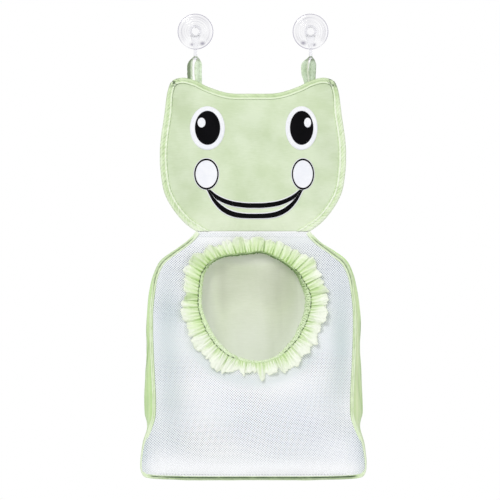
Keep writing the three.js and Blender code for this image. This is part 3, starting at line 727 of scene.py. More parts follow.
for side, sign in SIDES:
    x, z, width, height, pupil_width, pupil_height, glint = EYES[sign]
    film_shape(f"eye_{side}", oval(x, z, width, height), 0, True, f"{side}_eye_white")
    film_shape(f"pupil_{side}", oval(x + 0.2, z + 0.4, pupil_width, pupil_height), 1, False, f"{side}_pupil")
    glint = oval(x + 0.2 + sign * 7.5, z + 6.9, glint, 12.2, rings=6, sides=40)
    film_shape(f"glint_{side}", glint, 2, True, f"{side}_glint")
    x, z, width, height = CHEEKS[sign]
    film_shape(f"cheek_{side}", oval(x, z, width + 1.6, height + 1.6), 0, True, f"{side}_cheek")
    film_shape(f"cheek_line_{side}", oval(x, z, width, height, inner=0.885, rings=4), 1, False,
                   f"{side}_cheek_outline")

SMILE_CENTRE = 2.4
# The edges of both lips, from their middle to the right corner of the mouth
UPPER_TOP = [(0, -215), (8.8, -214.9), (17.5, -214.15), (26.3, -212.9), (35, -210.5), (43.8, -206.7),
             (50.6, -202.4), (55.3, -198.4)]
UPPER_LOW = [(0, -221), (8.8, -220.9), (17.5, -220.1), (26.3, -218.8), (35, -216.4), (43.8, -212.5),
             (50.4, -208), (57.8, -198.2)]
LOWER_TOP = [(0, -228.2), (8.8, -228.1), (17.5, -227.3), (26.3, -225.5), (35, -221.9), (43.8, -215.5),
             (50.4, -208.8), (57.6, -198.6)]
LOWER_LOW = [(0, -234), (8.8, -233.9), (17.5, -233.5), (26.3, -232.1), (35, -228.9), (43.8, -223),
             (52.5, -212.8), (60.3, -198)]
LIPS = [(UPPER_TOP, UPPER_LOW), (LOWER_TOP, LOWER_LOW)]


def lip(top, bottom, margin):
    """A band between two half lines, mirrored, and widened on both sides by a margin."""
    sides = []
    for line in (top, bottom):
        half = smooth_line(line, 60)
        sides.append(np.vstack([half[::-1], half[1:] * [-1, 1]]))
    upper, lower = sides
    centre, reach = (upper + lower) / 2, (upper - lower) / 2
    size = np.linalg.norm(reach, axis=1, keepdims=True) + 1e-6
    reach = reach * (size + margin) / size
    across = np.linspace(-1, 1, 6)[:, None, None]
    grid = centre[None] + reach[None] * across
    grid[..., 0] += SMILE_CENTRE
    return grid


film_shape("smile_margin", [lip(top, bottom, 1.2) for top, bottom in LIPS], 0, True)
film_shape("smile_lips", [lip(top, bottom, 0.0) for top, bottom in LIPS], 1, False, "smile")


# Head binding: a folded satin tape sewn round the head's edge. Its front shows a soft outer roll, a
# groove and an inner ridge that is stitched down, painted bright, and it puckers and bunches at the ears.
HEAD_TAPE = [(-7.4, -14.0), (-6.4, -13.5), (-3.6, -13.3), (-1.0, -13.5), (0.3, -14.4), (0.75, -15.8),
             (0.75, -17.6), (0.35, -19.1), (-0.6, -20.2), (-2.0, -20.6), (-3.2, -20.2), (-4.0, -20.1),
             (-4.8, -20.9), (-5.5, -21.1), (-6.1, -20.5), (-6.6, -19.6), (-7.0, -19.0)]


def trimmed(grid, level, *others):
    """Grids of a tape whose ends are cut level: each column keeps the rows that the first grid, its
    heights, holds above the level, spread evenly again over the same number of rows."""
    inside = grid > level
    first, last = inside.argmax(0), len(grid) - 1 - inside[::-1].argmax(0)
    place = first + (last - first) * np.linspace(0, 1, len(grid))[:, None]
    row = np.clip(place.astype(int), 0, len(grid) - 2)
    part = place - row
    return [np.take_along_axis(g, row, 0) * (1 - part) + np.take_along_axis(g, row + 1, 0) * part
            for g in (grid, *others)]


def tape_round(name, path, square, depth_of, profile, tone_of, width_of, ripple, seed, knots=(),
               knot_size=0.0, smooth=1.0, level=None):
    """A folded tape along a path of x and z: each point of its profile is a distance outwards and a
    y. width_of stretches the distances, ripples run slantwise over it and grow at the knots, and
    tone_of gives painted light and shade by distance and place, from -1 for shade in a groove to 1
    for a highlight on a ridge. The ripples paint light and shade too, and the knots more shade."""
    profile = smooth_line(profile, 34)
    run = run_along(path)[:, None]
    out, y = profile[None, :, 0], profile[None, :, 1]
    front = smooth_step(-y, np.median(-y) - 2, np.median(-y) + 2)
    slant = run + 1.1 * out + 2.4 * uneven(run + 2.5 * out, 27, seed + 4)
    wave = uneven(slant, 7.5, seed) * (0.7 + 0.5 * uneven(run, 33, seed + 5))
    wave = wave + 0.6 * uneven(slant, 19, seed + 1) + 0.3 * uneven(run - 1.4 * out, 3.7, seed + 6, 2)
    near = sum((bell(run, place, 7.5) for place in knots), 0 * run)
    bunched = uneven(slant, 5.2, seed + 2, 2) + 0.5 * uneven(run - 2 * out, 3.3, seed + 3, 2)
    wave = ripple * smooth * wave + knot_size * near * bunched
    ends = np.linspace(0, 1, 34)[None, :]
    free = smooth_step(ends, 0, 0.12) * smooth_step(1 - ends, 0, 0.05)
    wide = np.where(out < 0, out * width_of(path[:, :1], path[:, 1:2]), out) + 0.5 * wave * free * (out > -5)
    x = path[:, :1] + square[:, :1] * wide
    z = path[:, 1:2] + square[:, 1:2] * wide
    tone = tone_of(out + 0 * x, x, z, run) * free + 0.7 * wave * free
    shade = np.clip(-tone, 0, 1) + near * smooth_step(-wave, 0.0, 0.45)
    y = depth_of(x, z) + y - wave * free * (2 * front - 1)
    if level is not None:
        z, x, y, shade, tone = trimmed(z, level, x, y, shade, tone)
    return surface(name, np.stack([x, y, z], axis=2), thick=0.45, marks={"shade": shade, "light": tone})


def head_tone(out, x, z, run):
    """The head tape's painted light and shade: a mid roll, a highlight on the ridge, and a shadow line
    where it meets the face, which is broken up by puckers down the sides; paler there, most on the
    right, and by the neck, with crinkles of light and shade."""
    side = smooth_step(-z, 75, 105)
    dark = (0.85 - 0.45 * side) * (1 + 0.5 * side * uneven(run, 8, 43))
    bright = 0.85 * (1 + 0.35 * uneven(run, 6.5, 44) * (0.3 + 0.7 * side))
    bright = bright * (1 - 0.7 * smooth_step(-z, 226, 242))
    outer = 0.30 * bell(out, -0.6, 0.9) * side - 0.22 * bell(out, 0.5, 0.5)
    # Painted light down the sides, most on the right, and near the neck
    pale = 0.22 * smooth_step(x, 60, 100) * side + 0.1 * side + 0.45 * smooth_step(-z, 226, 246)
    crinkle = 0.3 * side * uneven(run + 1.5 * out, 4.4, 45, 2) * (out > -6)
    return (bright * bell(out, -5.15, 0.62) - dark * bell(out, -6.45, 0.42) - 0.17 * bell(out, -2.6, 1.5)
            + outer + pale + crinkle)


tape_satin = satin("tape satin", (222, 240, 198), (206, 228, 176), patch=60.0, crease=0.25, crease_size=90.0,
                   dark=(70, 92, 62), bright=(247, 254, 234))
NECK_TAIL = 12.0
EAR_SPREAD = 101.0
EAR_HEIGHT = -63.0
neck_end = head_half[-1:] + unit(head_half[-1:] - head_half[-9:-8]) * NECK_TAIL
head_side = np.vstack([head_half, neck_end])
head_path = evenly(np.vstack([head_side[::-1] * [-1, 1], head_side[1:]]), 900)
head_square = outward(head_path, soft=7)
ears = [np.argmin(np.hypot(head_path[:, 0] - x, head_path[:, 1] - EAR_HEIGHT))
        for x in (-EAR_SPREAD, EAR_SPREAD)]
binding = tape_round("head_tape", head_path, head_square, lambda x, z: 0 * x, HEAD_TAPE, head_tone,
                     lambda x, z: 0.95 + 0.28 * smooth_step(-z, 72, 105), 0.22, 41,
                     knots=run_along(head_path)[ears], knot_size=0.85,
                     smooth=0.35 + 0.75 * smooth_step(-head_path[:, 1:2], 75, 105), level=NECK - 0.2)
fit(binding, tape_satin, "bag", "green_tape", "head_binding")


# Front mesh: one layer of fine white netting between neck and bottom, cut out for the mouth. It
# hangs slack between its tapes, and its lower edge is turned up double for a hem.
FRONT_REACH = 18.5
FRONT_LEAN = 0.2249
MOUTH_CENTRE = np.array([3.0, -345.6])
# The seam round the mouth: degrees from the right, turning upwards, and distance from its centre
MOUTH_SEAM = [(5, 70.7), (14, 71.5), (29, 69.3), (39, 70.3), (47, 69.4), (54, 69), (62, 69), (70, 69.4),
              (77, 70.7), (85, 71.6), (96, 69.7), (110, 71.6), (121, 77.1), (128, 79.2), (134, 81.1),
              (139, 81.5), (148, 80.3), (155, 77.3), (167, 73.6), (182, 71.5), (189, 69.8), (199, 68.3),
              (210, 67.9), (226, 68.1), (242, 68.9), (255, 68.2), (274, 69.2), (286, 69), (300, 68.1),
              (310, 66.1), (322, 66.2), (333, 65.2), (345, 66.6), (354, 68.3)]


def round_table(table, angle, soft=5):
    """Values round the mouth by angle: straight steps between a table's degrees, averaged over a
    few degrees to both sides."""
    degrees, values = np.array(table).T
    fine = np.interp(np.arange(720) / 2, degrees, values, period=360)
    kernel = np.hanning(4 * soft + 3)[1:-1]
    fine = np.convolve(np.pad(fine, 2 * soft, "wrap"), kernel / kernel.sum(), "valid")
    return np.interp(np.degrees(angle) % 360, np.arange(720) / 2, fine, period=360)


def front_plane(z):
    """The front's y: it leans out from the neck to the bottom."""
    return -FRONT_REACH + FRONT_LEAN * (z - NECK)


def front_sag(x, z):
    """How far the netting stands out from its plane: slack in the middle, drawn in along two upright
    folds by the sides, with tension lines from the shoulders, and full above the hem."""
    inside = np.clip(1 - (np.abs(x) / 132) ** 4, 0, 1)
    inside = inside * smooth_step(-z, 256, 285) * smooth_step(z, -557, -540)
    low = smooth_step(-z, 420, 500)
    slack = 2.0 + 2.4 * bell(z, -470, 60) * bell(x, 0, 95)
    fold = -2.2 * bell(x + 116, 0.06 * (z + 450), 7) * smooth_step(-z, 300, 400)
    fold = fold - 1.9 * bell(x - 114 + 0.03 * (z + 450), 0, 7) * smooth_step(-z, 330, 430)
    fold = fold + bell(x + 128, 0.06 * (z + 450), 6) + 0.8 * bell(x, 126, 6)
    pull = 0.7 * bell(z, -300, 32) * sum(np.sin((x - side * 0.9 * (z + 300)) / 9) * bell(x, side * 95, 26)
                                         for side in (-1, 1))
    loose = 0.8 * low * rumple(x, z, 80, 61) + 0.4 * rumple(x, z, 48, 62)
    hem = 0.9 * bell(z, -546, 6) * (1 + 0.25 * uneven(x, 60, 71))
    return (slack + fold + pull + loose) * inside + hem


# Net holes: a lattice of small round holes on the slant, turned a little from upright and drawn out
# of line by slow waves, as slack netting is
NET_PITCH = 0.0031
net_holes, takes, gives = effect("net holes", [("Opening", "Float", 0.5)],
                                 [("Hole", "Float"), ("Height", "Float")])
place = place_on(net_holes)
pull = node(net_holes, "TexNoise", {"Vector": place, "Scale": 14.0, "Detail": 0.0}).outputs["Color"]
pull = node(net_holes, "VectorMath", {0: pull, "Scale": 0.007}, operation="SCALE").outputs[0]
drawn = node(net_holes, "VectorMath", {0: place, 1: pull}, operation="ADD").outputs[0]
waves = []
for operation, turned in (("ADD", (0.957, 1.0, 1.041)), ("SUBTRACT", (1.041, 1.0, 0.957))):
    axes = node(net_holes, "SeparateXYZ", {0: node(net_holes, "VectorMath", {0: drawn, 1: turned},
                                                   operation="MULTIPLY").outputs[0]}).outputs
    slantwise = math_node(net_holes, operation, axes["X"], axes["Z"])
    turns = math_node(net_holes, "DIVIDE", slantwise, NET_PITCH)
    waves.append(math_node(net_holes, "COSINE", math_node(net_holes, "MULTIPLY", turns, 2 * math.pi)))
height = math_node(net_holes, "ADD", *waves)
net_holes.links.new(math_node(net_holes, "MULTIPLY", height, -0.5), gives["Height"])
rim = math_node(net_holes, "SUBTRACT", 2.0, math_node(net_holes, "MULTIPLY", takes["Opening"], 2.0))
top = math_node(net_holes, "ADD", rim, 0.35)
net_holes.links.new(node(net_holes, "MapRange", {0: height, 1: rim, 2: top},
                         interpolation_type="SMOOTHSTEP").outputs[0], gives["Hole"])


def netting(name, colour, deep, opening, see_through):
    """White netting: holes that let light through, painted dark blue as the shaded inside behind them,
    rounded threads, shade painted by the mark shade, and fewer holes where the mark double says that
    it lies in two layers."""
    material, tree, shader = finish(name, Roughness=0.72, Sheen_Weight=0.2, Specular_IOR_Level=0.3)
    double = mark_of(tree, "double")
    holes = placed(tree, net_holes, Opening=opening)
    tone = mix_colour(tree, mark_of(tree, "shade"), toned(tree, colour, deep, 9.0), ink(179, 199, 198))
    seen = math_node(tree, "MULTIPLY", holes["Hole"], mark_of(tree, "open"))
    # The holes are painted dark blue, as the shaded inside seen through them
    tone = mix_colour(tree, seen, tone, ink(84, 98, 132))
    tone = mix_colour(tree, double, tone, ink(252, 253, 255))
    open_share = math_node(tree, "MULTIPLY", seen, see_through)
    open_share = math_node(tree, "MULTIPLY", open_share, math_node(tree, "SUBTRACT", 1.0, double))
    wire(shader, Base_Color=tone, Alpha=math_node(tree, "SUBTRACT", 1.0, open_share),
         Normal=bumps(tree, holes["Height"], 0.5, 0.0003))
    return material


front_net = netting("front netting", (253, 254, 255), (246, 249, 255), 0.6, 0.4)
over_tape = smooth_step(-body_half[:, 1:2], 490, 516) * (1 - smooth_step(-body_half[:, 1:2], 549, 555))
edge_half = body_half[:, :2] - outward(body_half) * (2.4 - 0.6 * over_tape)
edge_half = edge_half[edge_half[:, 1] < NECK - 2.0]
edge_line = both_sides(np.vstack([[(0, edge_half[0, 1])], edge_half]))
edge_line = evenly(np.vstack([edge_line, edge_line[:1]]), 621)[:-1]
angle = np.arctan2(edge_line[:, 1] - MOUTH_CENTRE[1], edge_line[:, 0] - MOUTH_CENTRE[0])
round_mouth = np.stack([np.cos(angle), np.sin(angle)], axis=1)
inner = MOUTH_CENTRE + (round_table(MOUTH_SEAM, angle) + 0.6)[:, None] * round_mouth
share = (np.linspace(0, 1, 68) ** 1.1)[:, None]
x = inner[None, :, 0] * (1 - share) + edge_line[None, :, 0] * share
z = inner[None, :, 1] * (1 - share) + edge_line[None, :, 1] * share
away = np.hypot(x - MOUTH_CENTRE[0], z - MOUTH_CENTRE[1])
y = front_plane(z) - front_sag(x, z) * smooth_step(away, 66, 96) * smooth_step(1 - share, 0, 0.05)
corner = smooth_step(-z, 490, 516) * (1 - smooth_step(-z, 548, 555)) * smooth_step(np.abs(x), 112, 122)
y = y - 1.9 * corner * (1 - 0.35 * smooth_step(share, 0.97, 1))
# Marks: where it lies double over the hem, where its holes show, and where it falls into shade
double = 0.95 * smooth_step(-z, 526, 548) * (1 - 0.55 * smooth_step(np.abs(x), 120, 136))
shows = 0.60 + 0.16 * rumple(x, z, 60, 63) - 0.48 * smooth_step(z, -270, -260)
shows = shows + 0.45 * bell(np.abs(x), 88, 26) * bell(z, -300, 32)
shows = shows + 0.4 * bell(x, 12, 82) * bell(z, -495, 36) + 0.4 * corner * smooth_step(share, 0.8, 1)
shows = shows - 0.4 * bell(np.abs(x), 104, 22) * bell(z, -385, 48)
under = bell(away, 92, 9) * smooth_step(-z, 360, 425)
shade = 0.30 * under + 0.5 * bell(x, -106, 18) * bell(z, -362, 62)
shade = shade + 0.56 * bell(x, 110, 15) * bell(z, -385, 62)
shade = shade + 0.14 * smooth_step(-z, 380, 330) * smooth_step(x, -40, 40)
shade = shade + 0.22 * smooth_step(np.abs(x), 108, 136) * smooth_step(-z, 470, 505)
shade = shade + 0.17 * bell(x, 100, 20) * bell(z, -450, 45)
shade = shade + 0.36 * bell(x, -102, 20) * bell(z, -460, 52) + 0.3 * corner * smooth_step(share, 0.9, 1)
shade = shade + 0.05 * rumple(x, z, 70, 64)
mesh_front = surface("net_front", np.stack([x, y, z], axis=2), ring=True, thick=0.35,
                     marks={"double": double, "open": np.clip(shows - 0.5 * under, 0.06, 1), "shade": shade})
# Light passes the netting, so it throws no shadow into the bag
mesh_front.visible_shadow = False
mesh_front.visible_diffuse = False
fit(mesh_front, front_net, "front", "white_mesh", "front_mesh_panel")


# Neck hem: the netting's top edge, turned over and sewn flat along the neck in one straight line.
# It is brighter than the netting below it, because the cloth lies double there.
HEM_HALF = 69.6
# A cut through the hem: height, and reach in front of the front's plane
HEM = [(-257.4, 0.05), (-256.6, 0.35), (-254, 0.6), (-251.6, 1.0), (-250.7, 0.95), (-250.2, 0.3),
       (-250.4, -0.6)]
hem_net = netting("hem netting", (250, 252, 254), (242, 246, 252), 0.6, 0.3)
x, z = np.meshgrid(np.linspace(-HEM_HALF, HEM_HALF, 260), smooth_line(HEM, 26)[:, 0], indexing="ij")
y = front_plane(z) - smooth_line(HEM, 26)[None, :, 1] - 0.12 * uneven(x, 9, 81)
hem = surface("neck_hem_net", np.stack([x, y, z], axis=2), thick=0.3,
              marks={"double": smooth_step(z, -252.3, -251.5), "open": 0 * z + 0.28, "shade": 0 * z})
fit(hem, hem_net, "front", "white_mesh", "neck_hem")


# Mouth casing: satin folded round the cut edge of the netting, with an elastic drawn through it, so
# that it gathers in short wrinkles. The frill is sewn on over its seam.
# The casing's width and its shade by degrees round the mouth, then a cut through it: the way
# outwards from its front seam in shares of the width, and its rise
CASING_WIDTH = [(0, 8.0), (15, 8.2), (25, 6.5), (38, 4.6), (50, 3.8), (65, 3.1), (90, 3.0), (110, 3.1),
                (128, 3.2), (140, 3.6), (152, 4.8), (170, 5.0), (185, 5.4), (200, 6.4), (225, 6.2),
                (245, 4.6), (262, 3.2), (285, 3.2), (300, 4.6), (320, 6.0), (340, 7.4)]
CASING_SHADE = [(0, 0.1), (20, 0.3), (36, 0.7), (48, 0.9), (70, 0.8), (90, 0.9), (110, 0.9), (128, 0.8),
                (140, 0.45), (153, 0.12), (180, 0.0), (270, 0.0), (330, 0.05)]
CASING = [(0.10, 0.9), (0.0, 1.3), (-0.3, 1.9), (-0.65, 1.9), (-0.93, 1.1), (-1.0, 0.0), (-0.93, -1.1),
          (-0.65, -1.6), (-0.3, -1.5), (0.15, -0.9)]
MOUTH_RADIUS = 68.0


def mouth_place(angle, distance, rise):
    """A place by its angle and distance from the mouth's centre, risen from the front's plane."""
    x = MOUTH_CENTRE[0] + distance * np.cos(angle)
    z = MOUTH_CENTRE[1] + distance * np.sin(angle)
    return np.stack([x, front_plane(z) - rise, z], axis=2)


casing_satin = satin("casing satin", (227, 251, 195), (208, 238, 165), patch=90.0, crease=0.4,
                     crease_size=120.0, dark=(86, 116, 56), bright=(246, 255, 232))
angle = np.linspace(0, 2 * np.pi, 1101)[:-1][None, :]
seam = round_table(MOUTH_SEAM, angle)
width = round_table(CASING_WIDTH, angle)
# Across, the casing runs from its front seam round the inner rim, at -1, to its seam behind
turned, rise = np.split(smooth_line(CASING, 32), 2, axis=1)
inward = -turned * width
arc = angle * MOUTH_RADIUS
slant = arc + (0.9 + 1.1 * uneven(arc, 41, 94)) * inward + 2.6 * uneven(arc + inward, 23, 93)
gather = uneven(slant, 7.6, 91) * (0.6 + 0.5 * uneven(arc, 29, 95))
gather = gather + 0.55 * uneven(slant - 2.6 * inward, 3.9, 92, 2)
slack = np.sin(np.pi * np.linspace(0, 1, 32))[:, None]
distance = seam - inward + 0.55 * gather * slack * (turned < -0.5)
rise = rise + 0.55 * gather * slack * np.sign(rise)
# Painted shade: creases, a shadow line under the frill along the rim, most at the top, the front seam
crease = smooth_step(-gather, 0.15, 0.8) * slack * np.sin(np.pi * np.clip(-turned, 0, 1)) ** 0.5
rim = smooth_step(-turned, 0.2, 0.6)
shade = round_table(CASING_SHADE, angle) * rim + 0.34 * crease + 0.3 * smooth_step(turned, -0.1, 0.0)
# Painted shade in uneven wrinkles, most on the right
right = np.clip(np.cos(angle - 0.1), 0, 1) ** 2
mottled_shade = 0.6 * uneven(arc - 3.1 * inward, 5.6, 97, 2) - uneven(arc + 2.2 * inward, 3.4, 96, 2)
shade = shade + (0.65 * right + 0.4) * np.clip(mottled_shade, 0, 1) ** 1.5 * slack ** 0.5
# Painted light lower down and on the gathers' ridges, less where shade is painted
light = 0.3 + 0.35 * smooth_step(-np.sin(angle - 0.5), -0.6, 0.4) + np.clip(0.5 * gather, 0, 0.5)
light = np.clip(light * slack ** 0.5 * (1 - np.clip(shade * 2, 0, 1)), 0, 0.9)
casing = surface("casing", mouth_place(angle, distance, rise), ring=True, thick=0.3,
                 marks={"shade": shade, "light": light})
fit(casing, casing_satin, "front", "green_satin", "mouth_casing")

elastic_finish, tree, shader = finish("flat elastic", Roughness=0.85)
ribs = node(tree, "TexWave", {"Vector": place_on(tree), "Scale": 900.0, "Distortion": 1.0})
wire(shader, Base_Color=toned(tree, (246, 246, 244), (228, 228, 224)),
     Normal=bumps(tree, ribs.outputs["Fac"], 0.5, 0.0002))
across, rise = np.split(np.array([(-0.78, 0.35), (-0.3, 0.35), (-0.3, -0.35), (-0.78, -0.35), (-0.78, 0.35)]),
                        2, axis=1)
elastic = mouth_place(angle, seam + width * across, rise + 0 * angle)[:, ::4]
elastic = surface("elastic_band", elastic, ring=True, closed=True)
fit(elastic, elastic_finish, "front", "elastic", "mouth_elastic")


# Mouth frill: a strip of satin 1.6 times as long as the seam, gathered onto it. Small tucks at the
# seam open into uneven lobes that stand off the netting and fold over sideways at their edge.
# FRILL_EDGE gives the free edge's distance from the mouth's centre by degrees.
FRILL_EDGE = [(8, 91.5), (17, 94.7), (23, 89.6), (27, 91.6), (40, 96.7), (47, 90.4), (57, 88.9), (61, 87.6),
              (69, 89.4), (76, 87.3), (83, 86.5), (89, 90.6), (97, 87.1), (104, 93.3), (108, 89.1),
              (112, 91.9), (122, 92), (128, 97.7), (134, 97.3), (140, 103.2), (147, 102.1), (154, 100.3),
              (163, 94), (171, 89.8), (176, 92.6), (184, 93.9), (192, 90.7), (198, 89.9), (205, 89),
              (215, 92.5), (223, 87.3), (235, 93.4), (248, 89.6), (254, 81.6), (259, 86.6), (262, 81.7),
              (272, 81.5), (275, 92.6), (279, 84.5), (284, 86.8), (291, 80.8), (295, 88.9), (306, 90.6),
              (315, 84.8), (320, 87.4), (333, 88.4), (343, 85.2), (356, 91.2)]
# Each fold of the frill: the angle of the crease before it, its height, and its tone, painted light above 0
# and shade below
FRILL_FOLDS = np.array([
    (2, 0.9, 0.3), (12, 1.25, -0.5), (17.5, 1.1, 0.1), (25, 0.9, 0.2), (33, 1.25, -0.1), (43, 0.8, 0.1),
    (50, 0.9, -0.1), (57, 0.9, 0.1), (65, 1.0, 0.1), (72.5, 1.0, 0.0), (82, 1.25, -0.22), (95, 0.7, 0.35),
    (100, 1.25, -0.25), (110, 0.8, 0.35), (119, 0.8, 0.0), (124, 1.2, -0.2), (134, 1.2, -0.42),
    (147, 1.0, 0.05), (155, 1.0, 0.12), (168, 1.15, -0.5), (174, 0.9, 0.15), (180, 1.1, 0.3),
    (192, 1.0, 0.05), (205, 1.1, 0.8), (219, 0.9, 0.5), (228, 1.1, 0.7), (241, 1.0, 0.8), (254, 0.9, 0.3),
    (261, 0.8, 0.6), (271, 1.1, -0.15), (279, 0.9, 0.4), (291, 0.7, -0.2), (301, 0.9, 0.4),
    (313, 1.1, 0.7), (327, 1.0, 0.3), (337, 0.9, 0.3), (346, 1.2, 0.7)])
FRILL_RADIUS = 80.0
FRILL_STEP = 1.4
PLEAT_LENGTH = 4.6

frill_satin = satin("frill satin", (230, 250, 194), (213, 241, 167), patch=50.0, crease=0.35,
                    crease_size=110.0, dark=(122, 166, 60), bright=(251, 255, 242))
angle = np.linspace(0, 2 * np.pi, 1801)[:-1][None, :]
seam = round_table(MOUTH_SEAM, angle)
share = np.linspace(0, 1, 21)[:, None]
degrees = np.degrees(angle)
low_half = smooth_step(-np.sin(angle - 0.25), -0.25, 0.6)
starts = np.append(FRILL_FOLDS[:, 0], FRILL_FOLDS[0, 0] + 360)
turned = (degrees - starts[0]) % 360 + starts[0]
fold = np.clip(np.searchsorted(starts, turned, side="right") - 1, 0, len(FRILL_FOLDS) - 1)
wide = starts[fold + 1] - starts[fold]
along = (turned - starts[fold]) / wide
size, tone = FRILL_FOLDS[fold, 1], FRILL_FOLDS[fold, 2]
skew = np.clip(1 + 0.6 * uneven(fold * 23.0, 61, 112, 2), 0.55, 1.9)
crest = np.sin(np.pi * along ** skew) ** (0.7 + 1.1 * share)
wide = np.radians(wide) * FRILL_RADIUS
arc = degrees * FRILL_STEP
rounded = np.sin(np.pi * along) ** 0.5
pleats = np.round(wide / PLEAT_LENGTH)
tucks = np.sin(2 * np.pi * pleats * along) * (bell(share, 0, 0.45) + 0.2)
minor = uneven(arc + 3.0 * share * uneven(arc, 37, 106), 8.5, 107, 2) * rounded
crinkle = uneven(arc + 9 * share * uneven(arc, 29, 116), 5.2, 114, 2)
zigzag = uneven(arc + 4.5 * share * uneven(arc, 9, 119), 2.3, 120, 2)
height = 1.9 + 1.2 * share + 4.2 * size * crest * (0.3 + 0.7 * share ** 0.8) * np.minimum(wide / 14, 1.15)
height = height + 0.62 * tucks * rounded + crest * smooth_step(share, 0.8, 1) + 0.42 * crinkle * share ** 0.5
height = np.maximum(height + (0.75 * minor + 0.5 * uneven(arc + 20 * share, 13, 103)) * share, 1.2)
lean = 3.4 * uneven(fold * 31.0, 97, 105, 2) * np.sin(np.pi * along) ** 2
sideways = -wide / (2 * np.pi) * np.sin(2 * np.pi * along) * (0.9 - 0.4 * low_half) + lean
ragged = np.abs(uneven(arc, 6.3, 113, 2)) - 0.4 + 0.5 * np.abs(uneven(arc, 3.1, 117, 2))
edge = round_table(FRILL_EDGE, angle, 2) + (0.6 + 0.6 * low_half) * uneven(arc, 9.5, 108, 2)
edge = edge + 0.7 * minor + 1.1 * ragged
hollow = 1 - crest
distance = seam - 0.4 + (edge - seam) * share * (1 - 0.05 * hollow) - 1.9 * share ** 2 * hollow * size
points = mouth_place(angle + sideways * share ** 1.1 / distance, distance, height)
# Painted shade in the creases between the folds, deepest at the seam and uneven outwards, and on dark folds
crease = bell(np.minimum(along, 1 - along) * wide, 0, 0.9 + 1.3 * share)
depth = (0.52 + 0.45 * uneven(fold * 17.0, 53, 109, 2)) * (1 - 0.55 * low_half)
shade = np.clip(depth, 0.12, 0.8) * crease * (1 - 0.8 * smooth_step(share, 0.15, 0.9))
shade = shade + 0.2 * bell(share, 0, 0.05) * (1 - 0.7 * low_half)
deep_fold = (0.35 + 0.65 * share) * crest * (1 - 0.6 * smooth_step(share, 0.85, 1))
shade = shade + 0.8 * np.clip(-tone, 0, 1) * deep_fold
small = 0.36 * np.clip(-tucks, 0, 1) * (1 - share) + 0.2 * np.clip(-minor, 0, 1) * share
shade = shade + small * (1 - 0.45 * low_half)
shade = shade + 0.03 * bell((degrees - 95 + 180) % 360, 180, 70) * (1 - share)
streak = uneven(arc + 3 * share * uneven(arc, 19, 118), 3.3, 115, 3)
shade = shade + 0.27 * np.clip(-streak, 0, 1) * bell(share, 0, 0.45) * (1 - 0.4 * low_half)
shade = shade + 0.32 * low_half * np.clip(-zigzag, 0, 1) * bell(share, 0.2, 0.3)
# Painted light on pale folds, tucks, ribs and the free edge, most in the lower half
light = np.clip(tone, 0, 1) * (0.3 + 0.7 * share) * crest ** 0.5 + 0.3 * np.clip(tucks, 0, 1) * crest
light = light + (0.35 + 0.3 * low_half) * smooth_step(share, 0.93, 1.0)
light = light + (0.2 + 0.45 * low_half) * share ** 1.2 + 0.4 * np.clip(minor, 0, 1) * share
light = light + (0.3 * np.clip(streak, 0, 1) + 0.1 + 0.3 * share ** 2) * share ** 0.5
light = np.clip(light + 0.4 * low_half * np.clip(zigzag, 0, 1), 0, 0.95)
frill = surface("frill", points, ring=True, thick=0.3, marks={"shade": shade, "light": light})
fit(frill, frill_satin, "front", "green_satin", "mouth_ruffle")


# Gussets: satin side walls between the two tapes, from the shoulder down past the bottom corner.
# They belly out in long upright folds, and are pinched in above the corner.
TAPE_REACH = 1.85


def wall_round(line, columns, belly, seed):
    """A wall along a stretch of the body outline: across, it goes from the back tape to the front
    tape and swells outwards as a sine, with long folds along it."""
    x, z, swell = np.split(line, 3, axis=1)
    square = outward(line)
    across = np.linspace(0, 1, columns)[None, :]
    arch = np.sin(np.pi * across)
    back = -back_plane(z) + TAPE_REACH
    front = -front_plane(z) - TAPE_REACH
    run = run_along(line[:, :2])[:, None]
    lane = across * (front - back)
    folds = 0.8 * uneven(lane + 6 * uneven(run, 260, seed, 2), 24, seed + 1)
    folds = folds * (0.55 + 0.45 * uneven(run + lane, 190, seed + 4))
    folds = folds + 0.4 * uneven(0.8 * lane + 0.35 * run, 58, seed + 2)
    folds = folds + 0.22 * uneven(lane - 0.12 * run, 11, seed + 3)
    offset = -2.2 + arch ** 0.75 * (1.7 + swell + belly) + folds * arch * smooth_step(front - back, 2, 26)
    points = np.stack([x + square[:, :1] * offset, -back - lane, z + square[:, 1:2] * offset], axis=2)
    return points, np.clip(folds, 0, 1.2) * arch, np.clip(-folds, 0, 1.2) * arch


side_satin = satin("side satin", (208, 240, 172), (190, 228, 147), patch=18.0, crease=0.35, crease_size=40.0,
                   dark=(90, 130, 46), bright=(242, 255, 208))
starts = int(np.argmax(body_half[:, 1] < NECK - 3.9))
ends = int(np.argmax((body_half[:, 1] < NECK - 0.98 * BODY_DROP) & (body_half[:, 0] < 0.92 * BODY_HALF)))
walls = []
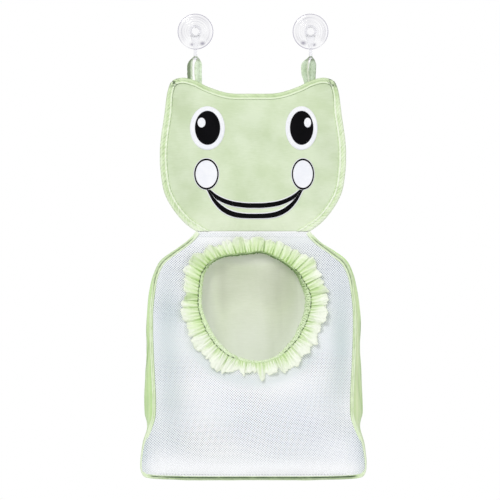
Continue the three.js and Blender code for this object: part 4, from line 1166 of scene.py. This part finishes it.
# The left wall hangs flatter than the right one, with less painted shade low down and less painted light
for (side, sign), belly, low_shade, pale in zip(SIDES, (-0.9, 0.2), (0.18, 0.24), (0.15, 1.7)):
    points, ridge, valley = wall_round(body_half[starts:ends + 1], 44, belly, 120 + sign)
    down = -points[..., 2]
    across = np.linspace(1, 0, 44)[None, :]
    # Painted shade: one sharp crease down the outermost line, level with the mouth, the folds' hollows
    # and, low down, the outermost band. Painted light: the folds' ridges, the wall low down, and two
    # pale streaks beside the front tape
    outermost = bell(across, 0.5, 0.3)
    streaks = bell(across, 0.13, 0.035) + 0.8 * bell(across, 0.27, 0.03)
    sharp = bell(across, 0.5, 0.16) * smooth_step(down, 352, 366) * (1 - smooth_step(down, 410, 428))
    valley = 0.3 * valley + 0.5 * sharp + low_shade * outermost * smooth_step(down, 405, 435)
    ridge = (ridge + pale) * (1 - outermost) + 1.2 * streaks * smooth_step(down, 330, 380)
    ridge = 0.35 * (ridge + smooth_step(down, 492, 510))
    points[..., 0] *= sign
    walls.append(surface(f"side_wall_{side}", points, thick=0.5,
                         marks={"light": np.clip(ridge, 0, 0.9), "shade": np.clip(valley, 0, 0.8)}))
    fit(walls[-1], side_satin, "bag", "green_satin", f"{side}_gusset")


# Bottom: satin under the toys, between the two tapes. It sags slightly, and it is made like the
# gussets' walls, along the lowest stretch of the outline.
bottom_line = body_half[ends + 2:]
bottom_line = np.vstack([bottom_line, bottom_line[::-1][1:] * [-1, 1, 1]])
points, ridge, valley = wall_round(bottom_line, 40, 0.9, 140)
# Painted light on the folds' ridges and a little all over, painted shade in their hollows
bottom = surface("bottom_sheet", points, thick=0.5,
                 marks={"light": np.clip(0.4 * ridge + 0.25, 0, 0.8), "shade": np.clip(0.3 * valley, 0, 0.5)})
fit(bottom, side_satin, "bag", "green_satin", "bottom_panel")
for piece in (*walls, bottom):
    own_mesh(piece)


# Seam tapes: folded satin tape along the netting's edge in front and the back panel's edge behind.
# Each has a roll, a groove where it is sewn, and a narrow flange on the cloth, with painted light on
# the roll and painted shade in the groove.
SEAM_TAPE = [(-5.0, 1.0), (-4.2, 1.5), (-2.4, 1.75), (-0.6, 1.3), (0.0, 0.1), (-0.4, -1.1), (-1.3, -1.5),
             (-2.3, -1.05), (-3.0, -1.25), (-3.7, -1.5), (-4.3, -1.2), (-5.0, -0.7)]


def seam_tone(out, x, z, run):
    """The seam tape's painted light and shade: deep shade in a groove on the shoulders, light on two
    rolls down the sides, paler still by the corners and under the neck, and along the bottom a
    painted shadow line under the netting."""
    shoulder = 1 - smooth_step(-z, 312, 332)
    bottom = smooth_step(-z, 551.5, 553.5) * (1 - smooth_step(np.abs(x), 122, 134))
    low = smooth_step(-z, 470, 500) * (1 - bottom)
    on_shoulder = 0.6 * bell(out, 0.1, 0.45) - 0.15 * bell(out, -0.8, 0.5) - 0.75 * bell(out, -2.4, 0.85)
    on_shoulder = on_shoulder + 0.6 * bell(out, -4.0, 0.8)
    on_side = 0.5 * bell(out, -1.0, 0.6) - 0.35 * bell(out, -2.3, 0.5) + 0.35 * bell(out, -3.5, 0.5)
    on_side = on_side - 0.22 * bell(out, 0.1, 0.5) - 0.6 * bell(out, -4.6, 0.4)
    below = 0.45 * bell(out, -1.3, 1.1) + 1.5 * bell(out, -3.4, 0.95) * (1 + 0.2 * uneven(run, 40, 57))
    below = below * (0.55 + 0.45 * smooth_step(x, -128, -80)) - 0.9 * smooth_step(-out, 4.2, 4.7)
    side = on_shoulder * shoulder + on_side * (1 - shoulder)
    side = side * (1 + 0.15 * uneven(run, 12, 58)) * (1 - 0.75 * low) + 0.3 * low
    under_neck = smooth_step(-z, 252, 262)
    side = side * under_neck + 0.75 * (1 - under_neck)
    return side * (1 - bottom) - below * bottom


seam_half = body_half[body_half[:, 1] < NECK][:, :2]
neck_end = seam_half[:1] - unit(seam_half[8:9] - seam_half[:1]) * 0.9
seam_half = np.vstack([neck_end, seam_half])
seam_path = evenly(np.vstack([seam_half, seam_half[::-1][1:] * [-1, 1]]), 1300)
seam_path[:, 0] += 1.1 * smooth_step(-seam_path[:, 1], 485, 515) * smooth_step(-seam_path[:, 0], 100, 125)
# On the shoulders the tape is drawn outwards, flush with the side wall's swell
drawn_out = 1.6 * smooth_step(-seam_path[:, 1:], 254, 270) * (1 - smooth_step(-seam_path[:, 1:], 298, 335))
seam_path = seam_path + drawn_out * outward(seam_path, soft=5)
seam_square = outward(seam_path, soft=5)


def seam_width(x, z):
    """The seam tape's width: full on the shoulders, narrow down the sides and along the bottom."""
    return 1.08 - 0.22 * smooth_step(-z, 290, 330)


def back_tone(out, x, z, run):
    """Painted light on the back tape's ridge and painted shade in its groove, alike all the way round."""
    return 0.5 * bell(out, -3.5, 0.6) - 0.3 * bell(out, -1.9, 0.8) + 0 * x


front_tape = tape_round("front_tape", seam_path, seam_square, lambda x, z: front_plane(z), SEAM_TAPE,
                        seam_tone, seam_width, 0.12, 51)
fit(front_tape, tape_satin, "front", "green_tape", "front_binding")
back_profile = [(out, -y) for out, y in SEAM_TAPE][::-1]
back_tape = tape_round("back_tape", seam_path, seam_square, lambda x, z: back_plane(z), back_profile,
                       back_tone, seam_width, 0.14, 55)
fit(back_tape, tape_satin, "bag", "green_tape", "back_binding")


# Stitching: short bent stitches of sewing thread, dark green round the mouth, pale along the head's
# tape, and white along the netting's bottom hem
def stitches(name, line, length, gap, radius):
    """Stitches along a line of points: each is a six-sided thread of five rings, thinner at its
    ends, which bend back into the cloth (towards +y) by the square of the distance from its middle."""
    middle = np.arange(gap, run_along(line)[-1] - length, length + gap)
    at = points_at(line, middle)
    along = unit(points_at(line, middle + 0.5) - at)
    sink = 0.9
    toward = np.array([0, -1.0, 0])
    out = unit(toward - along * (along @ toward)[:, None])
    beside = np.cross(along, out)
    place = np.array([-0.5, -0.36, 0, 0.36, 0.5])[None, :, None, None]
    size = radius * np.array([0.35, 0.85, 1, 0.85, 0.35])[None, :, None, None]
    turn = (np.arange(6) * np.pi / 3)[None, None, :, None]
    points = (at[:, None, None, :] + along[:, None, None, :] * place * length
              + out[:, None, None, :] * (size * np.sin(turn) - sink * radius * (2 * place) ** 2)
              + beside[:, None, None, :] * size * np.cos(turn))
    number = np.arange(len(at) * 30).reshape(-1, 5, 6)
    after = np.roll(number, -1, axis=2)
    quads = np.stack([number[:, :-1], after[:, :-1], after[:, 1:], number[:, 1:]], axis=3).reshape(-1, 4)
    ends = np.vstack([number[:, 0, ::-1], number[:, -1]])
    return built(name, points.reshape(-1, 3), quads.tolist() + ends.tolist(), outwards=True)


def thread(name, colour, deep):
    """Twisted sewing thread: fine slanting strands across an uneven tone."""
    material, tree, shader = finish(name, Roughness=0.6, Sheen_Weight=0.3)
    strands = placed(tree, satin_thread, Threads_per_metre=2600.0)
    wire(shader, Base_Color=toned(tree, colour, deep, 300.0),
         Normal=bumps(tree, strands["Height"], 0.6, 0.0001))
    return material


dark_thread = thread("dark green thread", (86, 112, 62), (66, 92, 46))
pale_thread = thread("pale green thread", (228, 244, 205), (205, 226, 176))
white_thread = thread("white thread", (226, 224, 238), (196, 194, 214))

for side, first, last in (("left", 137, 250), ("right", 304, 408)):
    angle = np.radians(np.linspace(first, last, 500))[None, :]
    wander = 0.35 * uneven(np.degrees(angle), 14, 131) + 0.2 * uneven(np.degrees(angle), 5, 132)
    line = mouth_place(angle, round_table(MOUTH_SEAM, angle) - 0.5 + wander, 2.7 + 0 * angle)[0]
    fit(stitches(f"mouth_stitches_{side}", line, 4.8, 1.3, 0.62), dark_thread, "front", "green_tape")
inner_path = head_path - head_square * 5.0
line = np.stack([inner_path[:, 0], -20.55 + 0 * inner_path[:, 0], inner_path[:, 1]], axis=1)[25:-25]
fit(stitches("head_stitches", line, 2.6, 1.1, 0.24), pale_thread, "bag", "green_tape")
x = np.linspace(-127, 122, 700)
z = -550.3 - 2.2 * np.cos(x / 141 * 1.2)
line = np.stack([x, front_plane(z) - front_sag(x, z) - 0.35, z], axis=1)
fit(stitches("hem_stitches", line, 2.4, 1.3, 0.22), white_thread, "front", "white_mesh")
